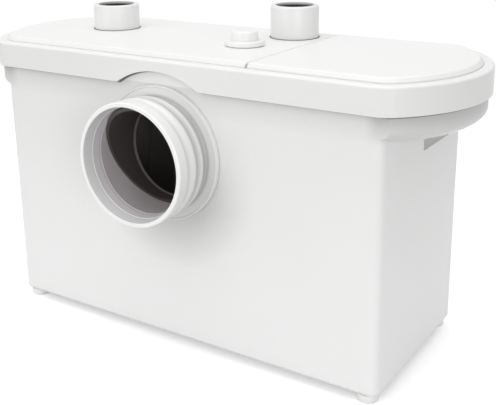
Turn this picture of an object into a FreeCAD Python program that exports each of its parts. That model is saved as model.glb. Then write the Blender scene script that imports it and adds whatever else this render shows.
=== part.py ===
import FreeCAD, Part
import math
import os

# A free-standing sewage lifting station with a front inlet for a WC.
# Millimetres, Z up, X along the front, Y to the back.
# The origin lies on the floor, at the middle of the whole part's length and depth.

V = FreeCAD.Vector

# Overall body: the lid, the tank below it and the feet
lid_length = 502.6
lid_depth = 188.1
lid_end_bow = 48.4
lid_corner_radius = 25.0
lid_edge_radius = 2.2
skirt_height = 23.5
skirt_wall = 3.0
ledge_top_z = 270.5
ledge_plate = 3.5
ledge_width = 8.8
rebate_width = 7.2
rebate_depth = 0.8
deck_rise = 4.3
deck_corner_radius = 34.0
deck_plate = 3.4
deck_rim = 3.0
deck_edge_chamfer = 3.4
deck_edge_radius = 2.8
deck_edge_gap = 0.3
seam_offset = 31.1
seam_gap = 0.6
seam_shelf = 8.0
seam_shelf_thickness = 2.4
notch_width = 2.6
notch_depth = 3.4
lift_gap = 0.3

tank_end_inset = 0.2
tank_side_draft = 0.6
tank_face_draft = 1.6
tank_wall = 3.5
tank_corner_radius = 8.0
tank_bottom_radius = 4.0
tank_face_inset = 5.8
foot_height = 7.0
foot_radius = 9.6
foot_side_inset = 13.2
foot_face_inset = 12.7
gasket_height = 3.0
gasket_width = 4.0

# The bulged ends under the lid
bulge_inset = 3.5
bulge_side_height = 12.2
bulge_round_height = 16.0
bulge_round_reach = 42.0

# Hand-grip recess in each end wall
grip_length = 64.0
grip_height = 20.0
grip_depth = 14.0
grip_back_inset = 35.5
grip_bottom_z = 198.5

# WC inlet spigot
inlet_motor_offset = 142.5
inlet_z = 186.2
spigot_radius = 55.0
spigot_reach = 41.0
spigot_mouth_bore = 51.0
spigot_middle_bore = 49.4
spigot_inner_bore = 48.4
bore_ledge = 0.4
spigot_lip_length = 10.4
first_taper_length = 10.5
second_taper_length = 9.5
neck_depth = 4.4
spigot_flange_radius = 61.8
spigot_flange_thickness = 2.6
flange_bead_width = 2.0
flange_bead_height = 0.8
spigot_tail_radius = 51.5
spigot_tail_length = 13.0
arch_radius = 80.3
arch_drop = 6.1
pad_radius = 61.0
pad_proud = 0.1
pad_thickness = 5.6
hole_clearance = 0.3
inlet_seal_thickness = 1.0
inlet_seal_width = 7.5
inlet_seal_inset = 0.5
backnut_width = 9.0
backnut_thickness = 7.0
backnut_lugs = 8
backnut_lug_size = 5.0

# Tubes in the lid
top_inlet_radius = 23.2
discharge_radius = 23.1
tube_flange_width = 2.2
tube_flange_thickness = 3.0
tube_flange_drop = 7.0
tube_seal_height = 2.2
tube_seal_lip_width = 0.9
tube_seal_lip_rise = 0.35
tube_rim_chamfer = 1.2
tube_relief = 0.3
tube_step_rise = 0.4
top_inlet_end_inset = 59.5
top_inlet_y = 32.9
top_inlet_bore = 18.2
top_inlet_rise = 25.0
top_inlet_drop = 32.0
discharge_motor_offset = 86.5
discharge_back_inset = 43.25
discharge_bore = 18.2
discharge_rise = 30.8
discharge_neck_radius = 20.0
discharge_neck_bore = 16.5
discharge_neck_z = 252.0
discharge_insert = 22.0

# Vent cap with its filter
vent_discharge_offset = 15.5
vent_y = 7.1
vent_flange_radius = 18.4
vent_flange_thickness = 4.7
vent_flange_chamfer = 0.8
vent_knob_radius = 12.2
vent_knob_height = 9.0
vent_knob_rounding = 2.2
vent_stem_radius = 8.5
vent_stem_bore = 6.5
vent_stem_length = 13.0
vent_lip = 1.5
vent_hole_radius = 10.0
vent_seal_height = 2.6
vent_filter_height = 9.0

# Macerator chamber behind the inlet
chamber_wall = 3.0
chamber_front_gap = 14.5
chamber_valve_gap = 5.8
chamber_pump_gap = 22.0
chamber_left_reach = 84.0
chamber_left_lean = 34.0
chamber_top_z = 250.0
chamber_floor_z = 64.0
chamber_leg_height = 3.5
chamber_leg_radius = 7.0
chamber_leg_inset = 14.0
chamber_screw_length = 5.5
foot_box_reach = 29.0
foot_box_top_z = 80.0
throat_wall = 3.0
throat_clearance = 0.4
throat_top_s = 12.0
throat_bottom_s = 50.4
slot_width = 4.0
slot_height = 44.0
slot_pitch = 9.0
slot_count = 9
slot_bottom_z = 24.0

# Motor and pump on one vertical axis
pump_wall_gap = 11.0
spout_offset = 36.0
pump_radius = 55.0
pump_cavity_radius = 44.0
pump_cavity_height = 27.0
pump_plate = 4.0
pump_cover_thickness = 4.0
suction_gap = 9.0
suction_eye_radius = 17.0
spacer_radius = 5.0
spacer_circle = 47.0
spout_radius = 13.0
spout_bore = 10.0
spout_end_offset = 21.0
spout_throat_reach = 40.0
spout_bore_reach = 20.0
impeller_radius = 38.0
impeller_disc = 3.5
impeller_vane_height = 11.0
impeller_vanes = 5
impeller_vane_thickness = 3.0
impeller_clearance = 3.0
impeller_hub_radius = 10.0
shaft_radius = 6.0
shaft_bottom_z = 32.0
cutter_z = 46.0
cutter_radius = 44.0
cutter_width = 16.0
cutter_thickness = 4.0
cutter_tip_height = 11.0
cutter_nut_height = 8.0
cutter_nut_radius = 9.0
blade_spacer_radius = 9.0
seal_radius = 11.0
seal_height = 10.0
running_gap = 0.05
flange_thickness = 8.0
bearing_radius = 16.0
bearing_width = 10.0
bearing_housing_radius = 21.0
motor_can_radius = 46.4
motor_can_wall = 2.0
motor_can_height = 108.0
end_cap_thickness = 6.0
end_cap_rim_radius = 40.0
stator_bore = 26.2
stator_height = 54.0
stator_offset = 30.0
winding_height = 12.0
winding_inner = 30.0
winding_outer = 43.0
rotor_radius = 25.6
fit_gap = 0.05
screw_circle = 50.2
screw_start_deg = 75.0
screw_shank = 2.0
screw_head_radius = 3.4
screw_head_height = 3.0
motor_screw_length = 24.0
pump_screw_length = 14.0

# Elbow, non-return valve and its flap
elbow_wall = 3.0
elbow_bend_radius = 19.0
elbow_overlap = 13.0
clamp_width = 9.0
clamp_thickness = 1.2
clamp_block = 8.0
valve_radius = 25.0
valve_bore = 22.0
valve_floor_z = 152.0
valve_floor_thickness = 5.0
valve_chamber_height = 42.0
valve_socket_height = 30.0
valve_socket_wall = 3.6
valve_spigot_bore = 10.0
flap_radius = 17.0
flap_thickness = 3.0
flap_pivot_offset = 17.5
flap_pin_radius = 1.5
flap_knuckle_radius = 3.0
flap_knuckle_width = 9.0
flap_pin_half_length = 15.5
flap_lift = 0.3
socket_seal_height = 4.0
socket_seal_depth = 1.8

# Level control: air bell, membrane switch and control box
bell_side_offset = 30.0
bell_front_offset = 20.0
bell_radius = 11.0
bell_wall = 2.5
bell_bottom_z = 30.0
switch_radius = 19.0
switch_wall = 2.0
switch_bottom_z = 138.0
diaphragm_z = 156.0
diaphragm_thickness = 1.2
diaphragm_travel = 2.5
button_radius = 4.0
button_gap = 0.8
plunger_radius = 1.6
plunger_length = 3.6
microswitch_length = 20.0
microswitch_width = 8.0
microswitch_height = 12.0
microswitch_gap = 2.6
box_length = 118.0
box_depth_share = 0.221
box_side_gap = 11.0
box_front_gap = 8.5
box_bottom_z = 168.0
box_top_z = 246.0
box_wall = 2.5
box_lid_thickness = 3.0
box_post_radius = 4.0
board_thickness = 1.6
board_height = 52.0
board_length = 60.0
board_side_offset = 20.0
board_standoff = 4.0
capacitor_radius = 15.0
capacitor_height = 60.0
capacitor_inset = 19.0
terminal_length = 36.0
terminal_depth = 10.0
terminal_height = 12.0
rib_width = 10.0
rib_height = 56.0
rib_left_inset = 14.0
rib_right_inset = 40.0
mount_screw_length = 7.0
box_screw_length = 10.0
lid_screw_length = 12.0

# Gland for the mains lead, in the left end wall
gland_y = -22.0
gland_z = 206.0
gland_bore = 3.8
gland_thread_radius = 8.0
gland_head_radius = 11.0
gland_head_length = 13.0
gland_pad_radius = 14.0
gland_pad_proud = 0.5
gland_pad_thickness = 6.0
gland_nut_thickness = 5.0

# Ribs behind the spigot's lip: distance past the lip's end, and depth under the lip's radius
rib_curve = (
    (0.0, 0.0), (1.3, 1.1), (2.7, 2.1), (4.6, 1.6), (7.0, 0.5), (9.8, 0.2), (12.6, 0.7), (15.2, 2.3),
    (17.4, 3.3), (19.6, 2.5), (21.6, 1.2), (23.2, 1.0), (24.8, 2.1), (26.6, 3.9), (28.2, 4.4),
)

# Heights and places that follow from the sizes above
lid_front_y = -(lid_depth - spigot_reach) / 2.0
lid_back_y = lid_front_y + lid_depth
lid_mid_y = lid_front_y + lid_depth / 2.0
mouth_y = lid_front_y - spigot_reach
skirt_bottom_z = ledge_top_z - skirt_height
frame_underside_z = ledge_top_z - ledge_plate
rim_z = frame_underside_z - lift_gap - gasket_height
deck_top_z = ledge_top_z + deck_rise
deck_underside_z = deck_top_z - deck_plate
tube_flange_top_z = deck_top_z - tube_flange_drop
tank_front_y = lid_front_y + tank_face_inset
tank_back_y = lid_back_y - tank_face_inset
lid_front_length = lid_length - 2.0 * lid_end_bow
tank_length = lid_front_length - 2.0 * tank_end_inset
tank_inner_x = tank_length / 2.0 - tank_wall
pad_front_y = tank_front_y - pad_proud
grip_front_y = lid_back_y - grip_back_inset - grip_length
gland_pad_x = -tank_length / 2.0 - gland_pad_proud
tank_floor_z = foot_height + tank_wall
bulge_top_round_z = skirt_bottom_z - bulge_side_height
bulge_bottom_z = bulge_top_round_z - bulge_round_height
motor_x = tank_inner_x - pump_wall_gap - pump_radius
inlet_x = motor_x - inlet_motor_offset
discharge_x = motor_x - discharge_motor_offset
top_inlet_x = top_inlet_end_inset - tank_length / 2.0
vent_x = discharge_x - vent_discharge_offset
chamber_left_top_x = inlet_x - chamber_left_reach
chamber_left_bottom_x = chamber_left_top_x - chamber_left_lean
foot_box_left_x = inlet_x - foot_box_reach
discharge_y = lid_back_y - discharge_back_inset
motor_y = discharge_y - spout_offset
spout_end_x = discharge_x + spout_end_offset
seam_x = discharge_x + seam_offset
chamber_front_y = tank_front_y + chamber_front_gap
chamber_back_y = discharge_y - valve_radius - chamber_valve_gap
chamber_right_x = motor_x - pump_radius - chamber_pump_gap
box_right_x = tank_inner_x - box_side_gap
box_left_x = box_right_x - box_length
box_front_y = tank_front_y + box_front_gap
box_back_y = box_front_y + box_depth_share * lid_depth
bell_x = box_left_x + bell_side_offset
bell_y = box_front_y + bell_front_offset
capacitor_x = box_right_x - capacitor_inset
pump_cover_z = foot_box_top_z + suction_gap
volute_z = pump_cover_z + pump_cover_thickness
volute_top_z = volute_z + pump_cavity_height + pump_plate
spout_z = volute_z + spout_radius + 0.5
flange_top_z = volute_top_z + flange_thickness
can_top_z = flange_top_z + motor_can_height
lower_bearing_z = flange_top_z
upper_bearing_z = can_top_z - bearing_width - 4.0
shaft_top_z = upper_bearing_z + bearing_width - 1.0
stator_z = flange_top_z + stator_offset
valve_seat_z = valve_floor_z + valve_floor_thickness
valve_top_z = valve_seat_z + valve_chamber_height
flap_pivot_z = valve_seat_z + flap_lift + flap_knuckle_radius
flap_pivot_x = discharge_x + flap_pivot_offset
socket_top_z = valve_top_z + valve_socket_height
button_top_z = box_bottom_z


def box(x0, x1, y0, y1, z0, z1):
    return Part.makeBox(x1 - x0, y1 - y0, z1 - z0, V(x0, y0, z0))


def zcyl(x, y, z0, z1, r):
    return Part.makeCylinder(r, z1 - z0, V(x, y, z0), V(0, 0, 1))


def ycyl(x, z, y0, y1, r):
    return Part.makeCylinder(r, y1 - y0, V(x, y0, z), V(0, 1, 0))


def xcyl(y, z, x0, x1, r):
    return Part.makeCylinder(r, x1 - x0, V(x0, y, z), V(1, 0, 0))


def zring(x, y, z0, z1, r_in, r_out):
    return zcyl(x, y, z0, z1, r_out).cut(zcyl(x, y, z0, z1, r_in))


def yring(x, z, y0, y1, r_in, r_out):
    return ycyl(x, z, y0, y1, r_out).cut(ycyl(x, z, y0, y1, r_in))


def polygon(points):
    return Part.Face(Part.makePolygon(points + [points[0]]))


def upright_edges(shape):
    found = []
    for edge in shape.Edges:
        a = edge.Vertexes[0].Point
        b = edge.Vertexes[-1].Point
        if abs(a.x - b.x) < 0.01 and abs(a.y - b.y) < 0.01 and abs(a.z - b.z) > 0.5:
            found.append(edge)
    return found


def edges_at_z(shape, z):
    found = []
    for edge in shape.Edges:
        low = edge.BoundBox.ZMin
        high = edge.BoundBox.ZMax
        if abs(low - z) < 0.01 and abs(high - z) < 0.01:
            found.append(edge)
    return found


def save(name, shape):
    solids = shape.Solids
    if len(solids) == 1:
        shape = solids[0]
    else:
        shape = Part.makeCompound(solids)
    shape.exportStep("parts/" + name + ".step")
    print(name, "solids", len(solids), "valid", shape.isValid(), "volume", round(shape.Volume))


# Lid outline: straight front and back edges, and a shallow arc at each end
end_sagitta = (lid_length - lid_front_length) / 2.0
end_radius = ((lid_depth / 2.0) ** 2 + end_sagitta ** 2) / (2.0 * end_sagitta)
end_centre_x = lid_length / 2.0 - end_radius


def lid_prism(offset, z0, z1, corner=lid_corner_radius):
    half = lid_depth / 2.0 - offset
    radius = end_radius - offset
    corner_x = end_centre_x + math.sqrt(radius ** 2 - half ** 2)
    tip_x = end_centre_x + radius
    front = lid_mid_y - half
    back = lid_mid_y + half
    edges = [
        Part.LineSegment(V(-corner_x, front, z0), V(corner_x, front, z0)).toShape(),
        Part.Arc(V(corner_x, front, z0), V(tip_x, lid_mid_y, z0), V(corner_x, back, z0)).toShape(),
        Part.LineSegment(V(corner_x, back, z0), V(-corner_x, back, z0)).toShape(),
        Part.Arc(V(-corner_x, back, z0), V(-tip_x, lid_mid_y, z0), V(-corner_x, front, z0)).toShape(),
    ]
    solid = Part.Face(Part.Wire(edges)).extrude(V(0, 0, z1 - z0))
    rounding = max(corner - offset, 2.0)
    return solid.makeFillet(rounding, upright_edges(solid))


def rounded_rectangle(half_x, y0, y1, r, z):
    k = r * (1.0 - math.sqrt(0.5))
    edges = [
        Part.LineSegment(V(-half_x + r, y0, z), V(half_x - r, y0, z)).toShape(),
        Part.Arc(V(half_x - r, y0, z), V(half_x - k, y0 + k, z), V(half_x, y0 + r, z)).toShape(),
        Part.LineSegment(V(half_x, y0 + r, z), V(half_x, y1 - r, z)).toShape(),
        Part.Arc(V(half_x, y1 - r, z), V(half_x - k, y1 - k, z), V(half_x - r, y1, z)).toShape(),
        Part.LineSegment(V(half_x - r, y1, z), V(-half_x + r, y1, z)).toShape(),
        Part.Arc(V(-half_x + r, y1, z), V(-half_x + k, y1 - k, z), V(-half_x, y1 - r, z)).toShape(),
        Part.LineSegment(V(-half_x, y1 - r, z), V(-half_x, y0 + r, z)).toShape(),
        Part.Arc(V(-half_x, y0 + r, z), V(-half_x + k, y0 + k, z), V(-half_x + r, y0, z)).toShape(),
    ]
    return Part.Wire(edges)


def tank_block(offset, z0, z1):
    # A drafted box; the drafts are stated over the height from the feet to the rim
    def section(z):
        share = (rim_z - z) / (rim_z - foot_height)
        half_x = tank_length / 2.0 - tank_side_draft * share - offset
        y0 = tank_front_y + tank_face_draft * share + offset
        y1 = tank_back_y - tank_face_draft * share - offset
        return rounded_rectangle(half_x, y0, y1, tank_corner_radius - offset, z)
    return Part.makeLoft([section(z0), section(z1)], True, True)


def bulge(offset, side):
    # Bowl-shaped end under the lid, turned about the end arc's own centre
    radius = end_radius - bulge_inset - offset
    bottom = bulge_bottom_z + offset
    flat = radius - bulge_round_reach
    straight_z = bulge_top_round_z + offset * 0.5
    ellipse = Part.Ellipse(V(radius, 0, straight_z), V(flat, 0, bottom), V(flat, 0, straight_z))
    edges = [
        Part.LineSegment(V(0, 0, bottom), V(flat, 0, bottom)).toShape(),
        Part.Arc(ellipse, 0, math.pi / 2.0).toShape(),
        Part.LineSegment(V(radius, 0, straight_z), V(radius, 0, rim_z)).toShape(),
        Part.LineSegment(V(radius, 0, rim_z), V(0, 0, rim_z)).toShape(),
        Part.LineSegment(V(0, 0, rim_z), V(0, 0, bottom)).toShape(),
    ]
    bowl = Part.Face(Part.Wire(edges)).revolve(V(0, 0, 0), V(0, 0, 1), 360)
    bowl.translate(V(side * end_centre_x, lid_mid_y, 0))
    reach = lid_length / 2.0
    inner = tank_length / 2.0 - 20.0
    x0 = min(side * inner, side * reach)
    x1 = max(side * inner, side * reach)
    keep = box(x0, x1, tank_front_y + offset + 1.0, tank_back_y - offset - 1.0, bottom - 1.0, rim_z + 1.0)
    return bowl.common(keep)


def grip_box(side, grow, inner):
    # The hollow of one hand grip, or with grow above zero the wall round it
    wall_x = tank_length / 2.0
    x0 = wall_x - grip_depth - grow
    x1 = wall_x - inner
    ends = sorted([side * x0, side * x1])
    return box(ends[0], ends[1], grip_front_y - grow, grip_front_y + grip_length + grow,
               grip_bottom_z - grow, grip_bottom_z + grip_height + grow)


def make_tank():
    outer = tank_block(0, foot_height, rim_z)
    outer = outer.makeFillet(tank_bottom_radius, edges_at_z(outer, foot_height))
    inner = tank_block(tank_wall, tank_floor_z, rim_z + 1.0)
    for side in (-1, 1):
        outer = outer.fuse(bulge(0, side))
        inner = inner.fuse(bulge(tank_wall, side))
    tank = outer.cut(inner)
    pad = ycyl(inlet_x, inlet_z, pad_front_y, pad_front_y + pad_thickness, pad_radius)
    tank = tank.fuse(pad)
    tank = tank.cut(ycyl(inlet_x, inlet_z, mouth_y, chamber_front_y, spigot_tail_radius + hole_clearance))
    for side in (-1, 1):
        tank = tank.fuse(grip_box(side, tank_wall, 1.0))
        tank = tank.cut(grip_box(side, 0, -2.0))
    for x in box_screw_places():
        rib = box(x - rib_width / 2.0, x + rib_width / 2.0,
                  tank_front_y + tank_wall / 2.0 + 1.0, box_front_y,
                  box_bottom_z + 12.0, box_bottom_z + 12.0 + rib_height)
        tank = tank.fuse(rib)
    for x, y in chamber_legs():
        leg_top = tank_floor_z + chamber_leg_height
        tank = tank.fuse(zcyl(x, y, tank_floor_z - 1.0, leg_top, chamber_leg_radius))
    gland_pad = xcyl(gland_y, gland_z, gland_pad_x, gland_pad_x + gland_pad_thickness, gland_pad_radius)
    tank = tank.fuse(gland_pad)
    tank = tank.cut(xcyl(gland_y, gland_z, gland_pad_x - 1.0, gland_pad_x + gland_pad_thickness + 1.0,
                         gland_thread_radius + hole_clearance))
    for x, y in chamber_legs():
        tank = tank.cut(zcyl(x, y, tank_floor_z + 0.5, tank_floor_z + chamber_leg_height, screw_shank))
    for x in box_screw_places():
        tank = tank.cut(ycyl(x, box_screw_z(), box_front_y - 5.0, box_front_y, screw_shank))
    return tank.removeSplitter()


def box_screw_places():
    return (box_left_x + rib_left_inset, box_right_x - rib_right_inset)


def box_screw_z():
    return box_bottom_z + 12.0 + rib_height / 2.0


def chamber_legs():
    left = foot_box_left_x + chamber_leg_inset
    right = foot_box_right_x() - chamber_leg_inset
    front = foot_box_front_y() + chamber_leg_inset
    back = foot_box_back_y() - chamber_leg_inset
    return [(left, front), (right, front), (left, back), (right, back)]


def foot_box_front_y():
    return motor_y - foot_box_half()


def foot_box_back_y():
    return motor_y + foot_box_half()


def foot_box_right_x():
    return motor_x + foot_box_half()


def foot_box_half():
    return cutter_radius + 7.0 + chamber_wall


def make_lid_frame():
    frame = lid_prism(0, skirt_bottom_z, ledge_top_z)
    frame = frame.makeFillet(lid_edge_radius, edges_at_z(frame, ledge_top_z))
    frame = frame.cut(lid_prism(skirt_wall, skirt_bottom_z - 1.0, frame_underside_z))
    frame = frame.cut(lid_prism(ledge_width + rebate_width, skirt_bottom_z, ledge_top_z + 1.0,
                                deck_corner_radius))
    frame = frame.cut(lid_prism(ledge_width, ledge_top_z - rebate_depth, ledge_top_z + 1.0,
                                deck_corner_radius))
    for x, y, r in tube_places():
        frame = frame.cut(zcyl(x, y, frame_underside_z - 1.0, ledge_top_z - rebate_depth,
                               r + tube_flange_width + lift_gap))
    arch = ycyl(inlet_x, inlet_z - arch_drop, mouth_y, tank_front_y, arch_radius)
    return frame.cut(arch)


def tube_places():
    return [(top_inlet_x, top_inlet_y, top_inlet_radius), (discharge_x, discharge_y, discharge_radius)]


def deck_panel(x0, x1):
    outline = ledge_width + deck_edge_gap
    base_z = ledge_top_z - rebate_depth
    panel = lid_prism(outline, base_z, deck_top_z, deck_corner_radius)
    panel = panel.makeChamfer(deck_edge_chamfer, edges_at_z(panel, deck_top_z))
    panel = panel.makeFillet(deck_edge_radius, edges_at_z(panel, deck_top_z))
    keep = box(x0, x1, lid_front_y, lid_back_y, base_z - 1.0, deck_top_z + 1.0)
    panel = panel.common(keep)
    hollow = lid_prism(outline + deck_rim, base_z - 1.0, deck_underside_z, deck_corner_radius)
    hollow_keep = box(x0 + deck_rim, x1 - deck_rim, lid_front_y, lid_back_y, base_z - 1.0, deck_top_z)
    panel = panel.cut(hollow.common(hollow_keep))
    front = lid_front_y + outline
    notch = box(seam_x - notch_width / 2.0, seam_x + notch_width / 2.0, front - 1.0, front + notch_depth,
                base_z - 1.0, deck_top_z + 1.0)
    return panel.cut(notch)


def make_left_deck():
    deck = deck_panel(-lid_length / 2.0, seam_x - seam_gap / 2.0)
    base_z = ledge_top_z - rebate_depth
    inset = ledge_width + rebate_width + 1.0
    shelf = box(seam_x - 6.0, seam_x + seam_shelf, lid_front_y + inset, lid_back_y - inset,
                base_z - seam_shelf_thickness, base_z - lift_gap)
    web = box(seam_x - 6.0, seam_x - seam_gap / 2.0, lid_front_y + inset, lid_back_y - inset,
              base_z - lift_gap - 0.5, deck_underside_z + 0.5)
    deck = deck.fuse(shelf).fuse(web)
    collar_z = tube_flange_top_z + tube_seal_height
    outline = lid_prism(ledge_width + deck_edge_gap, collar_z, deck_top_z, deck_corner_radius)
    for x, y, r in tube_places():
        collar = zcyl(x, y, collar_z, deck_underside_z + 1.0, r + tube_flange_width)
        deck = deck.fuse(collar.common(outline))
        deck = deck.cut(zcyl(x, y, frame_underside_z - 6.0, deck_top_z + 1.0,
                             r + tube_seal_lip_width + fit_gap))
        deck = deck.cut(zcyl(x, y, frame_underside_z - 6.0, collar_z, r + tube_flange_width + fit_gap))
    deck = deck.cut(zcyl(vent_x, vent_y, frame_underside_z, deck_top_z + 1.0, vent_hole_radius))
    return deck.removeSplitter()


def make_service_cover():
    cover = deck_panel(seam_x + seam_gap / 2.0, lid_length / 2.0)
    cover.translate(V(0, 0, lift_gap))
    trim = box(seam_x, lid_length / 2.0, lid_front_y, lid_back_y, deck_top_z, deck_top_z + 2.0)
    return cover.cut(trim)


def make_lid_gasket():
    edge = 0.5
    outer = extruded_rim(edge, rim_z, rim_z + gasket_height)
    inner = extruded_rim(edge + gasket_width, rim_z - 1.0, rim_z + gasket_height + 1.0)
    return outer.cut(inner)


def extruded_rim(offset, z0, z1):
    # Outline of the tank's rim: the box and its two bulged ends
    half_x = tank_length / 2.0 - offset
    wire = rounded_rectangle(half_x, tank_front_y + offset, tank_back_y - offset,
                             tank_corner_radius - offset, z0)
    body = Part.Face(wire).extrude(V(0, 0, z1 - z0))
    for side in (-1, 1):
        disc = zcyl(side * end_centre_x, lid_mid_y, z0, z1, end_radius - bulge_inset - offset)
        inner = tank_length / 2.0 - 20.0
        ends = sorted([side * inner, side * lid_length / 2.0])
        keep = box(ends[0], ends[1], tank_front_y + offset + 1.0, tank_back_y - offset - 1.0, z0, z1)
        body = body.fuse(disc.common(keep))
    return body


def make_inlet_spigot():
    # Half section in depth from the mouth and radius, turned about the inlet's axis
    flange_face = pad_front_y - inlet_seal_thickness - spigot_flange_thickness - mouth_y
    flange_back = flange_face + spigot_flange_thickness
    tail_end = flange_back + spigot_tail_length
    # The flange's thin outer edge reaches back round the seal
    skirt_end = flange_back + inlet_seal_thickness - fit_gap
    seal_recess = spigot_tail_radius + inlet_seal_inset + inlet_seal_width + fit_gap
    r = spigot_radius
    first = first_taper_length
    second = first + second_taper_length
    ribs = [spigot_point(spigot_lip_length + s, r - depth) for s, depth in rib_curve]
    neck = [
        (flange_face - 1.0, r - neck_depth), (flange_face, r - neck_depth + 1.0),
        (flange_face, spigot_flange_radius - flange_bead_width),
        (flange_face - flange_bead_height, spigot_flange_radius - 0.7 * flange_bead_width),
        (flange_face - flange_bead_height, spigot_flange_radius - 0.3 * flange_bead_width),
        (flange_face, spigot_flange_radius), (skirt_end, spigot_flange_radius),
        (skirt_end, seal_recess), (flange_back, seal_recess),
        (flange_back, spigot_tail_radius), (tail_end, spigot_tail_radius), (tail_end, spigot_inner_bore),
        (second + bore_ledge, spigot_inner_bore), (second, spigot_inner_bore + bore_ledge),
        (first + bore_ledge, spigot_middle_bore), (first, spigot_middle_bore + bore_ledge),
        (0.3, spigot_mouth_bore), (0.0, spigot_mouth_bore + 0.3), (0.0, r - 0.8), (0.8, r),
    ]
    corners = [ribs[-1]] + [spigot_point(s, radius) for s, radius in neck] + [ribs[0]]
    curve = Part.BSplineCurve()
    curve.interpolate(ribs)
    face = Part.Face(Part.Wire([curve.toShape()] + Part.makePolygon(corners).Edges))
    return face.revolve(V(inlet_x, mouth_y, inlet_z), V(0, 1, 0), 360)


def spigot_point(s, radius):
    return V(inlet_x + radius, mouth_y + s, inlet_z)


def make_inlet_seal():
    outer = spigot_tail_radius + inlet_seal_inset + inlet_seal_width
    return yring(inlet_x, inlet_z, pad_front_y - inlet_seal_thickness, pad_front_y,
                 spigot_tail_radius + 0.2, outer)


def make_inlet_backnut():
    y0 = pad_front_y + pad_thickness
    y1 = y0 + backnut_thickness
    bore = spigot_tail_radius + fit_gap
    nut = yring(inlet_x, inlet_z, y0, y1, bore, spigot_tail_radius + backnut_width)
    for index in range(backnut_lugs):
        angle = 2.0 * math.pi * index / backnut_lugs
        x = inlet_x + (spigot_tail_radius + backnut_width) * math.cos(angle)
        z = inlet_z + (spigot_tail_radius + backnut_width) * math.sin(angle)
        lug = ycyl(x, z, y0, y1, backnut_lug_size / 2.0)
        nut = nut.fuse(lug)
    return nut.removeSplitter()


def tube_with_flange(x, y, r, z0, z1, bore):
    # The tube is a little thinner where it passes the lid, so its hose seat starts above the deck
    step_z = deck_top_z + tube_step_rise
    body = zcyl(x, y, z0, step_z, r - tube_relief).fuse(zcyl(x, y, step_z, z1, r))
    flange = zcyl(x, y, tube_flange_top_z - tube_flange_thickness, tube_flange_top_z, r + tube_flange_width)
    body = body.fuse(flange).removeSplitter()
    body = body.makeChamfer(tube_rim_chamfer, edges_at_z(body, z1))
    return body.cut(zcyl(x, y, z0 - 1.0, z1 + 1.0, bore))


def make_top_inlet_tube():
    return tube_with_flange(top_inlet_x, top_inlet_y, top_inlet_radius, deck_underside_z - top_inlet_drop,
                            deck_top_z + top_inlet_rise, top_inlet_bore)


def make_discharge_tube():
    upper = tube_with_flange(discharge_x, discharge_y, discharge_radius, discharge_neck_z,
                             deck_top_z + discharge_rise, discharge_bore)
    neck_end = socket_top_z - discharge_insert
    neck = zcyl(discharge_x, discharge_y, neck_end, discharge_neck_z, discharge_neck_radius)
    floor = zcyl(discharge_x, discharge_y, discharge_neck_z, discharge_neck_z + 3.0,
                 discharge_radius - tube_relief)
    body = upper.fuse(neck).fuse(floor)
    body = body.cut(zcyl(discharge_x, discharge_y, neck_end - 1.0, discharge_neck_z + 4.0,
                         discharge_neck_bore))
    return body.removeSplitter()


def make_tube_seal(x, y, r):
    # A flat ring under the deck, with a lip that rises through the deck's hole and shows round the tube
    bore = r - tube_relief + fit_gap
    lip_top = deck_top_z + tube_seal_lip_rise
    flat = zring(x, y, tube_flange_top_z, tube_flange_top_z + tube_seal_height, bore, r + tube_flange_width)
    lip = zring(x, y, tube_flange_top_z + 1.0, lip_top, bore, r + tube_seal_lip_width)
    return flat.fuse(lip).removeSplitter()


def make_vent_cap():
    z0 = deck_top_z + lift_gap
    flange_top = z0 + vent_flange_thickness
    top = flange_top + vent_knob_height
    flange = zcyl(vent_x, vent_y, z0, flange_top, vent_flange_radius)
    flange = flange.makeFillet(1.2, edges_at_z(flange, flange_top))
    flange = flange.makeChamfer(vent_flange_chamfer, edges_at_z(flange, z0))
    knob = zcyl(vent_x, vent_y, flange_top - 1.0, top, vent_knob_radius)
    knob = knob.makeFillet(vent_knob_rounding, edges_at_z(knob, top))
    stem = zcyl(vent_x, vent_y, z0 - vent_stem_length, z0 + 1.0, vent_stem_radius)
    body = flange.fuse(knob).fuse(stem)
    body = body.cut(zcyl(vent_x, vent_y, z0 - vent_stem_length + vent_lip, flange_top + 4.0, vent_stem_bore))
    return body.cut(zcyl(vent_x, vent_y, z0 - vent_stem_length - 1.0, z0, vent_stem_bore - 2.0))


def make_vent_seal():
    z1 = deck_top_z - 0.2
    return zring(vent_x, vent_y, z1 - vent_seal_height, z1, vent_stem_radius, vent_hole_radius - 0.1)


def make_vent_filter():
    z0 = deck_top_z + lift_gap - vent_stem_length + vent_lip
    return zcyl(vent_x, vent_y, z0, z0 + vent_filter_height, vent_stem_bore - fit_gap)


def chamber_tall_block(offset, top_z):
    lean = (chamber_left_top_x - chamber_left_bottom_x) / (chamber_top_z - chamber_floor_z)
    bottom = chamber_floor_z + offset
    left_bottom = chamber_left_bottom_x + offset + lean * offset
    left_top = chamber_left_top_x + offset + lean * (top_z - chamber_top_z)
    right = chamber_right_x - offset
    y0 = chamber_front_y + offset
    face = polygon([V(left_bottom, y0, bottom), V(right, y0, bottom), V(right, y0, top_z),
                    V(left_top, y0, top_z)])
    return face.extrude(V(0, chamber_back_y - chamber_front_y - 2.0 * offset, 0))


def chamber_foot_block(offset):
    bottom = tank_floor_z + chamber_leg_height
    return box(foot_box_left_x + offset, foot_box_right_x() - offset,
               foot_box_front_y() + offset, foot_box_back_y() - offset,
               bottom + offset, foot_box_top_z - offset)


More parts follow.
